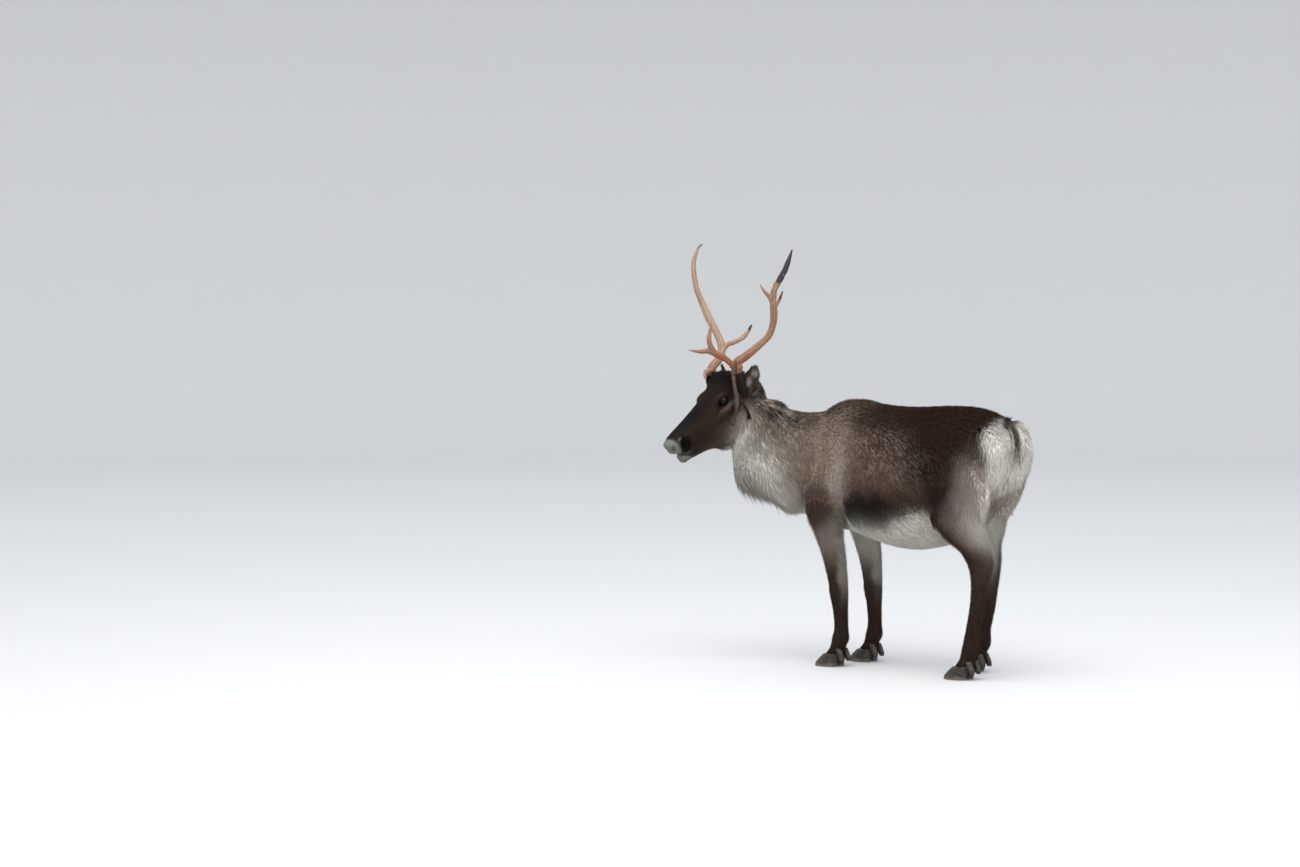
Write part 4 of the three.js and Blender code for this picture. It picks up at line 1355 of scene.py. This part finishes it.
def antler(side):
    """Rods along each branch, joined by a fine voxel skin and relaxed. A point's flutes come from the turn
    round its nearest branch, 0.45 sin(7 turn + 4 wave) mm, and its knots and pearls from noise."""
    branches = ANTLERS[side]
    shells = [burr(side)]
    lines = []
    for path, radii, flat in branches.values():
        shells.append(skin_over(rod(antler_point(path), radii, 8 * len(path), 20, flat)))
        lines.append(along_rod(antler_point(path), radii, 8 * len(path)))
    points, faces = together(shells)
    piece = mesh_object("antler_" + side, placed(points), faces)
    with_modifier(piece, "REMESH", mode="VOXEL", voxel_size=ANTLER_VOXEL)
    points, _, faces = arrays_of(piece.data)
    points = relaxed(drawn(points), faces, 5, 0.5)
    normals = normals_of(points, faces)
    middle, radius, normal, binormal = (np.concatenate([line[k] for line in lines]) for k in range(4))
    branch = np.concatenate([np.full(len(line[0]), k) for k, line in enumerate(lines)])
    share = np.concatenate([np.linspace(0, 1, len(line[0])) for line in lines])
    nearest = nearest_of(points, middle, radius)
    rest = points - middle[nearest]
    turn = np.arctan2((rest * binormal[nearest]).sum(1), (rest * normal[nearest]).sum(1))
    branch, share, radius = branch[nearest], share[nearest], radius[nearest]
    names = np.array(list(branches))[branch]
    over_burr = (points - antler_point([[0.0, 0.0, 0.0]]))[:, 2] - BURR_HEIGHT[side]
    flute = np.sin(7 * turn + 4 * noise(points, 48, 3) + 2 * branch) * np.clip(radius / 12, 0.2, 1)
    pearls = noise(points, 5.5, 8) * (0.3 + 1.3 * np.exp(-np.maximum(over_burr, 0) / 26))
    knots = noise(points, 16, 9) * 0.7
    ragged = noise(points, 11, 12) + 0.6 * noise(points, 4, 13)
    kept = kept_velvet(side, names, share, turn, ragged)
    swell = 0.45 * flute * (1 - kept) + pearls + knots + kept * (0.8 + 0.8 * ragged)
    points = points + normals * swell[:, None]
    piece.data.vertices.foreach_set("co", placed(points).astype(np.float32).ravel())
    rust = np.exp(-(((over_burr - 34) / 44) ** 2)) * (1.0 if side == "left" else 0.35)
    colours = layered(
        BONE,
        (BONE_RUST, rust + 0.25 * noise(points, 30, 15) + (names == "brow_upper") * 0.25),
        (BONE_PALE, 0.6 * soft(share, 0.5, 0.2) * (side == "right")),
        (GROOVE, 0.5 * soft(-flute - 0.6 * pearls, 0.35, 0.2)),
        (OLD_VELVET, kept),
    )
    give_colour(piece, colours)
    piece.data.shade_smooth()
    return piece


def bone_material():
    """Bone: its stain from the attribute, mottled, with fine pores and a dull polish that is glossier on the
    pale."""
    nodes = Nodes("antler bone")
    colour = nodes.add("Attribute", {"attribute_name": "fur"})
    place = nodes.add("TexCoord")
    mottle = nodes.add("TexNoise", Vector=place.outputs["Object"], Scale=95.0, Detail=5.0, Roughness=0.62)
    shade = nodes.add(
        "MapRange", Value=mottle.outputs["Fac"], From_Min=0.3, From_Max=0.7, To_Min=0.78, To_Max=1.16
    )
    tinted = nodes.add("VectorMath", {"operation": "SCALE"})
    nodes.put(tinted, 0, colour.outputs["Color"])
    nodes.put(tinted, 3, shade.outputs["Result"])
    pores = nodes.add("TexNoise", Vector=place.outputs["Object"], Scale=1300.0, Detail=2.0)
    bump = nodes.add("Bump", Height=pores.outputs["Fac"], Strength=0.3, Distance=0.0006)
    rough = nodes.add("MapRange", Value=mottle.outputs["Fac"], To_Min=0.62, To_Max=0.42)
    return nodes.finish(
        Base_Color=tinted.outputs["Vector"], Roughness=rough.outputs["Result"], Normal=bump.outputs["Normal"],
        Specular_IOR_Level=0.4,
    )


bone = bone_material()
for side, branches in ANTLERS.items():
    piece = antler(side)
    piece.data.materials.append(bone)
    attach(piece, "root")
    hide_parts(*(f"antler_{side}_{branch}" for branch in branches))


# Velvet: the last of the furred skin that fed the left antler while it grew. It has torn loose and hangs
# From the burr in two crumpled strips, leathery outside and frayed to threads at its edges. For each strip:
# Its path, its half width along it, how the dark of its end is scaled and raised, and its node.
VELVET = {
    "velvet_long": (
        [
            [4, 82, 58], [20, 90, 30], [20, 95, -20], [14, 99, -66],
            [15, 100, -104], [20, 100, -140], [30, 99, -168],
        ],
        [11, 11, 5.5, 10, 11, 8.5, 6],
        (0.25, 0),
        "antler_left_velvet",
    ),
    "velvet_back": (
        [[16, 98, -50], [-4, 100, -76], [-22, 100, -103], [-36, 99, -123], [-43, 98, -146]],
        [5, 8, 9, 9, 8],
        (1, 0.5),
        "antler_left_velvet_fork",
    ),
}
VELVET_SKIN = paint(84, 71, 63)
VELVET_DARK = paint(40, 30, 27)


def velvet_strip(name, path, radii, darker, darkest, seed):
    """A flattened tube that twists and crumples: its half width is r (1 + 0.3 noise), its half thickness
    about 1.3 mm, and it curls across by a parabola. Spikes of loose hair stand down and out from both
    edges."""
    centre, r, normal, binormal = along_rod(antler_point(path), radii, 90)
    s = np.linspace(0, 1, 91)
    twist = 0.5 * np.sin(7 * s + seed) + 0.35 * np.sin(17 * s)
    wide = normal * np.cos(twist)[:, None] + binormal * np.sin(twist)[:, None]
    through = np.cross(wide, np.gradient(centre, axis=0))
    through /= np.linalg.norm(through, axis=1)[:, None]
    turn = np.linspace(0, 2 * np.pi, 28, endpoint=False)
    edge = r * (1 + 0.3 * noise(centre, 9, seed)) * np.where(s > 0.9, 1 - 0.6 * (s - 0.9) / 0.1, 1)
    across = edge[:, None] * np.cos(turn) * 0.95
    thick = 1.3 + 0.7 * noise(centre, 7, seed + 1)
    out = thick[:, None] * np.sin(turn) + 0.22 * (across**2) / edge[:, None] - 0.8
    rings = centre[:, None] + across[..., None] * wide[:, None] + out[..., None] * through[:, None]
    flat = rings.reshape(-1, 3)
    crumple = noise(flat, 8, seed + 2) * 1.1 + noise(flat, 3, seed + 3) * 0.4
    flat = flat + through.repeat(28, 0) * crumple[:, None]
    points, faces = skin_over(flat.reshape(rings.shape))
    dark = soft(np.concatenate([s.repeat(28), [0, 1]]) + 0.2 * noise(points, 14, seed), 0.72, 0.08)
    rng = np.random.default_rng(seed)
    count = 520
    at = np.sort(rng.integers(4, 91, count))
    half = rng.choice([-1, 1], count)
    root = centre[at] + wide[at] * (half * edge[at] * rng.uniform(0.55, 0.95, count))[:, None]
    down = np.array([0.0, 0.0, -1.0]) + 0.35 * rng.normal(0, 1, (count, 3)) + wide[at] * (half * 0.5)[:, None]
    down /= np.linalg.norm(down, axis=1)[:, None]
    reach = rng.uniform(5, 13, count)[:, None]
    base = [root + 0.5 * wide[at], root - 0.5 * wide[at], root + 0.6 * through[at]]
    hair = np.stack([*base, root + down * reach], 1).reshape(-1, 3)
    spikes = np.arange(count)[:, None, None] * 4 + np.array([[0, 2, 1], [0, 1, 3], [1, 2, 3], [2, 0, 3]])
    shade = np.concatenate([dark, dark[at * 28].repeat(4) + 0.2])
    all_points, all_faces = together([(points, faces), (hair, spikes.reshape(-1, 3))])
    piece = mesh_object(name, placed(all_points), all_faces)
    mottled = VELVET_SKIN * (1 + 0.35 * noise(all_points, 6, seed + 5))[:, None]
    give_colour(piece, layered(mottled, (VELVET_DARK, shade * darker + darkest)))
    return piece


velvet_skin = fur_material("torn velvet", 0.75)
for seed, (name, (path, radii, (darker, darkest), node)) in enumerate(VELVET.items()):
    piece = velvet_strip(name, path, radii, darker, darkest, seed + 40)
    piece.data.materials.append(velvet_skin)
    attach(piece, "root")
    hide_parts(node)


# Hooves: two broad crescent claws of black horn under each foot and two dewclaws behind, which spread on
# Soft ground. The horn grows down from the coronet in fine rings and is scuffed paler round the rim.

# Height, distance ahead of the foot's middle, half depth and half width of level slices
CLAW = [
    [0, 26, 43, 21.6],
    [6, 25, 43.5, 22],
    [14, 23, 42.5, 22],
    [30, 14, 36.5, 20.6],
    [CORONET, 3, 29, 18.4],
]
CLAW_APART = 24
CLAW_SPLAY = 7
DEWCLAW = [[21, -41, 8, 7], [26, -40, 11, 9], [40, -35, 13.5, 10.8], [66, -24, 12, 10]]
DEWCLAW_APART = 19
HORN = paint(46, 40, 36)
HORN_SCUFFED = paint(104, 94, 84)


def horn(table, foot, out, apart, steps, around, ring_depth):
    """Level rings: half width w cos a, drawn in to the toe by 1 - 0.3 sin^2 a and flattened by a fifth
    towards the other claw, and half depth d sin a. Growth rings swell it by depth sin(2 pi z / 4.5 mm)."""
    rows = rows_between(table, steps)
    z, ahead, deep, wide = rows.T
    turn = np.linspace(0, 2 * np.pi, around, endpoint=False)
    swell = 1 + ring_depth * np.sin(2 * np.pi * z / 4.5)[:, None]
    toe = 1 - 0.3 * np.maximum(np.sin(turn), 0) ** 2
    inner = np.where(np.cos(turn) * out < 0, 0.8, 1.0)
    left = wide[:, None] * np.cos(turn) * toe * inner * swell
    front = deep[:, None] * np.sin(turn) * swell
    splay = np.radians(out * CLAW_SPLAY)
    x = foot[0] + ahead[:, None] + front * np.cos(splay) - left * np.sin(splay)
    y = foot[1] + out * apart + front * np.sin(splay) + left * np.cos(splay)
    rings = np.stack([x, y, z[:, None] + 0 * x], -1)
    points, faces = skin_over(rings)
    return points, faces[:, ::-1]


def hooves(name):
    """The four horns of one foot."""
    rows, side, stride, _ = LEGS[name]
    foot = (rows[-1][1] + stride, side * rows[-1][4])
    horns = []
    for half in (1, -1):
        out = side * half
        horns.append(horn(CLAW, foot, out, CLAW_APART, 44, 56, 0.007))
        horns.append(horn(DEWCLAW, foot, out, DEWCLAW_APART, 26, 32, 0.014))
    points, faces = together(horns)
    piece = mesh_object("hooves_" + name, placed(points), faces)
    rim = soft(8 - points[:, 2] + 5 * noise(points, 9, 2), 0, 2.5)
    streaks = 0.4 * soft(noise(points * [1, 1, 4], 12, 6), 0.4, 0.1)
    give_colour(piece, layered(HORN, (HORN_SCUFFED, rim + streaks)))
    return piece


def horn_material():
    """Black horn: fine level rings in the bump, and scuffs from the attribute."""
    nodes = Nodes("hoof horn")
    colour = nodes.add("Attribute", {"attribute_name": "fur"})
    place = nodes.add("TexCoord")
    rings = nodes.add(
        "TexWave", {"wave_type": "BANDS", "bands_direction": "Z"},
        Vector=place.outputs["Object"], Scale=160.0, Distortion=2.0, Detail=3.0,
    )
    bump = nodes.add("Bump", Height=rings.outputs["Fac"], Strength=0.25, Distance=0.0006)
    worn = nodes.add("TexNoise", Vector=place.outputs["Object"], Scale=220.0, Detail=4.0)
    rough = nodes.add("MapRange", Value=worn.outputs["Fac"], To_Min=0.3, To_Max=0.62)
    return nodes.finish(
        Base_Color=colour.outputs["Color"], Roughness=rough.outputs["Result"], Normal=bump.outputs["Normal"],
        Specular_IOR_Level=0.45,
    )


hoof_horn = horn_material()
for name in LEGS:
    piece = hooves(name)
    piece.data.materials.append(hoof_horn)
    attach(piece, "root")
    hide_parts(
        *(f"{kind}_{name}_{half}" for kind in ("hoof", "dewclaw") for half in ("outer", "inner"))
    )


# Floor and light: a plain pale floor that curves up all round into the wall of a wide open bowl, so that no
# Edge shows, under the even light of an overcast sky and two broad soft lamps.
FLOOR_REACH = 13.0
FLOOR_CURVE = 4.0
WALL_TOP = 7.0
FLOOR_TONE = (0.62, 0.62, 0.62, 1)
SKY_TONE = (0.93, 0.96, 1.0, 1)


def studio_bowl():
    """A profile turned about the upright: flat to the reach, a quarter circle up, then a straight wall."""
    bend = np.linspace(0, np.pi / 2, 24)
    flat = np.linspace(0.4, 1, 12) * FLOOR_REACH
    out = np.concatenate([flat, FLOOR_REACH + FLOOR_CURVE * np.sin(bend[1:])])
    high = np.concatenate([np.zeros(12), FLOOR_CURVE * (1 - np.cos(bend[1:]))])
    out, high = np.append(out, out[-1]), np.append(high, WALL_TOP)
    turn = np.linspace(0, 2 * np.pi, 96, endpoint=False)
    rings = np.stack([out[:, None] * np.cos(turn), out[:, None] * np.sin(turn), high[:, None] + 0 * turn], -1)
    points, faces = skin_over(rings, capped=False)
    middle = len(points)
    rim = np.arange(96)
    disc = np.stack([np.full(96, middle), np.roll(rim, -1), rim], -1)
    return np.concatenate([points, [[0, 0, 0]]]), np.concatenate([faces, disc])[:, ::-1]


floor = mesh_object("studio_floor", *studio_bowl())
floor_nodes = Nodes("studio floor")
floor.data.materials.append(floor_nodes.finish(Base_Color=FLOOR_TONE, Roughness=0.9, Specular_IOR_Level=0.1))
world = bpy.data.worlds.new("studio")
world.use_nodes = True
world.node_tree.nodes["Background"].inputs["Color"].default_value = SKY_TONE
world.node_tree.nodes["Background"].inputs["Strength"].default_value = 1.25
bpy.context.scene.world = world


def soft_light(name, place, aim, size, power):
    """A square lamp that faces a point."""
    lamp = bpy.data.objects.new(name, bpy.data.lights.new(name, "AREA"))
    lamp.data.size = size
    lamp.data.energy = power
    lamp.location = place
    lamp.rotation_euler = (Vector(aim) - Vector(place)).to_track_quat("-Z", "Y").to_euler()
    bpy.context.scene.collection.objects.link(lamp)


soft_light("overhead", (-1.5, 2.0, 6.0), (0, 0, 0.7), 5.0, 260)
soft_light("front", (-4.5, 5.5, 3.0), (0.1, 0, 0.8), 4.0, 120)
bpy.context.scene.view_settings.view_transform = "Standard"


# Camera: far off and level with the animal's back, behind its left flank, with a long lens.
CAMERA_PLACE = (-6330.4, 8713.1, 1350.0)
CAMERA_PITCH = -2.770
CAMERA_TURN = -139.08
CAMERA_LENS = 84.98
camera = bpy.data.objects.new("camera", bpy.data.cameras.new("camera"))
camera.location = placed(CAMERA_PLACE)
camera.rotation_euler = (np.radians(90 + CAMERA_PITCH), 0, np.radians(CAMERA_TURN))
camera.data.lens = CAMERA_LENS
camera.data.clip_end = 200
bpy.context.scene.collection.objects.link(camera)
bpy.context.scene.camera = camera
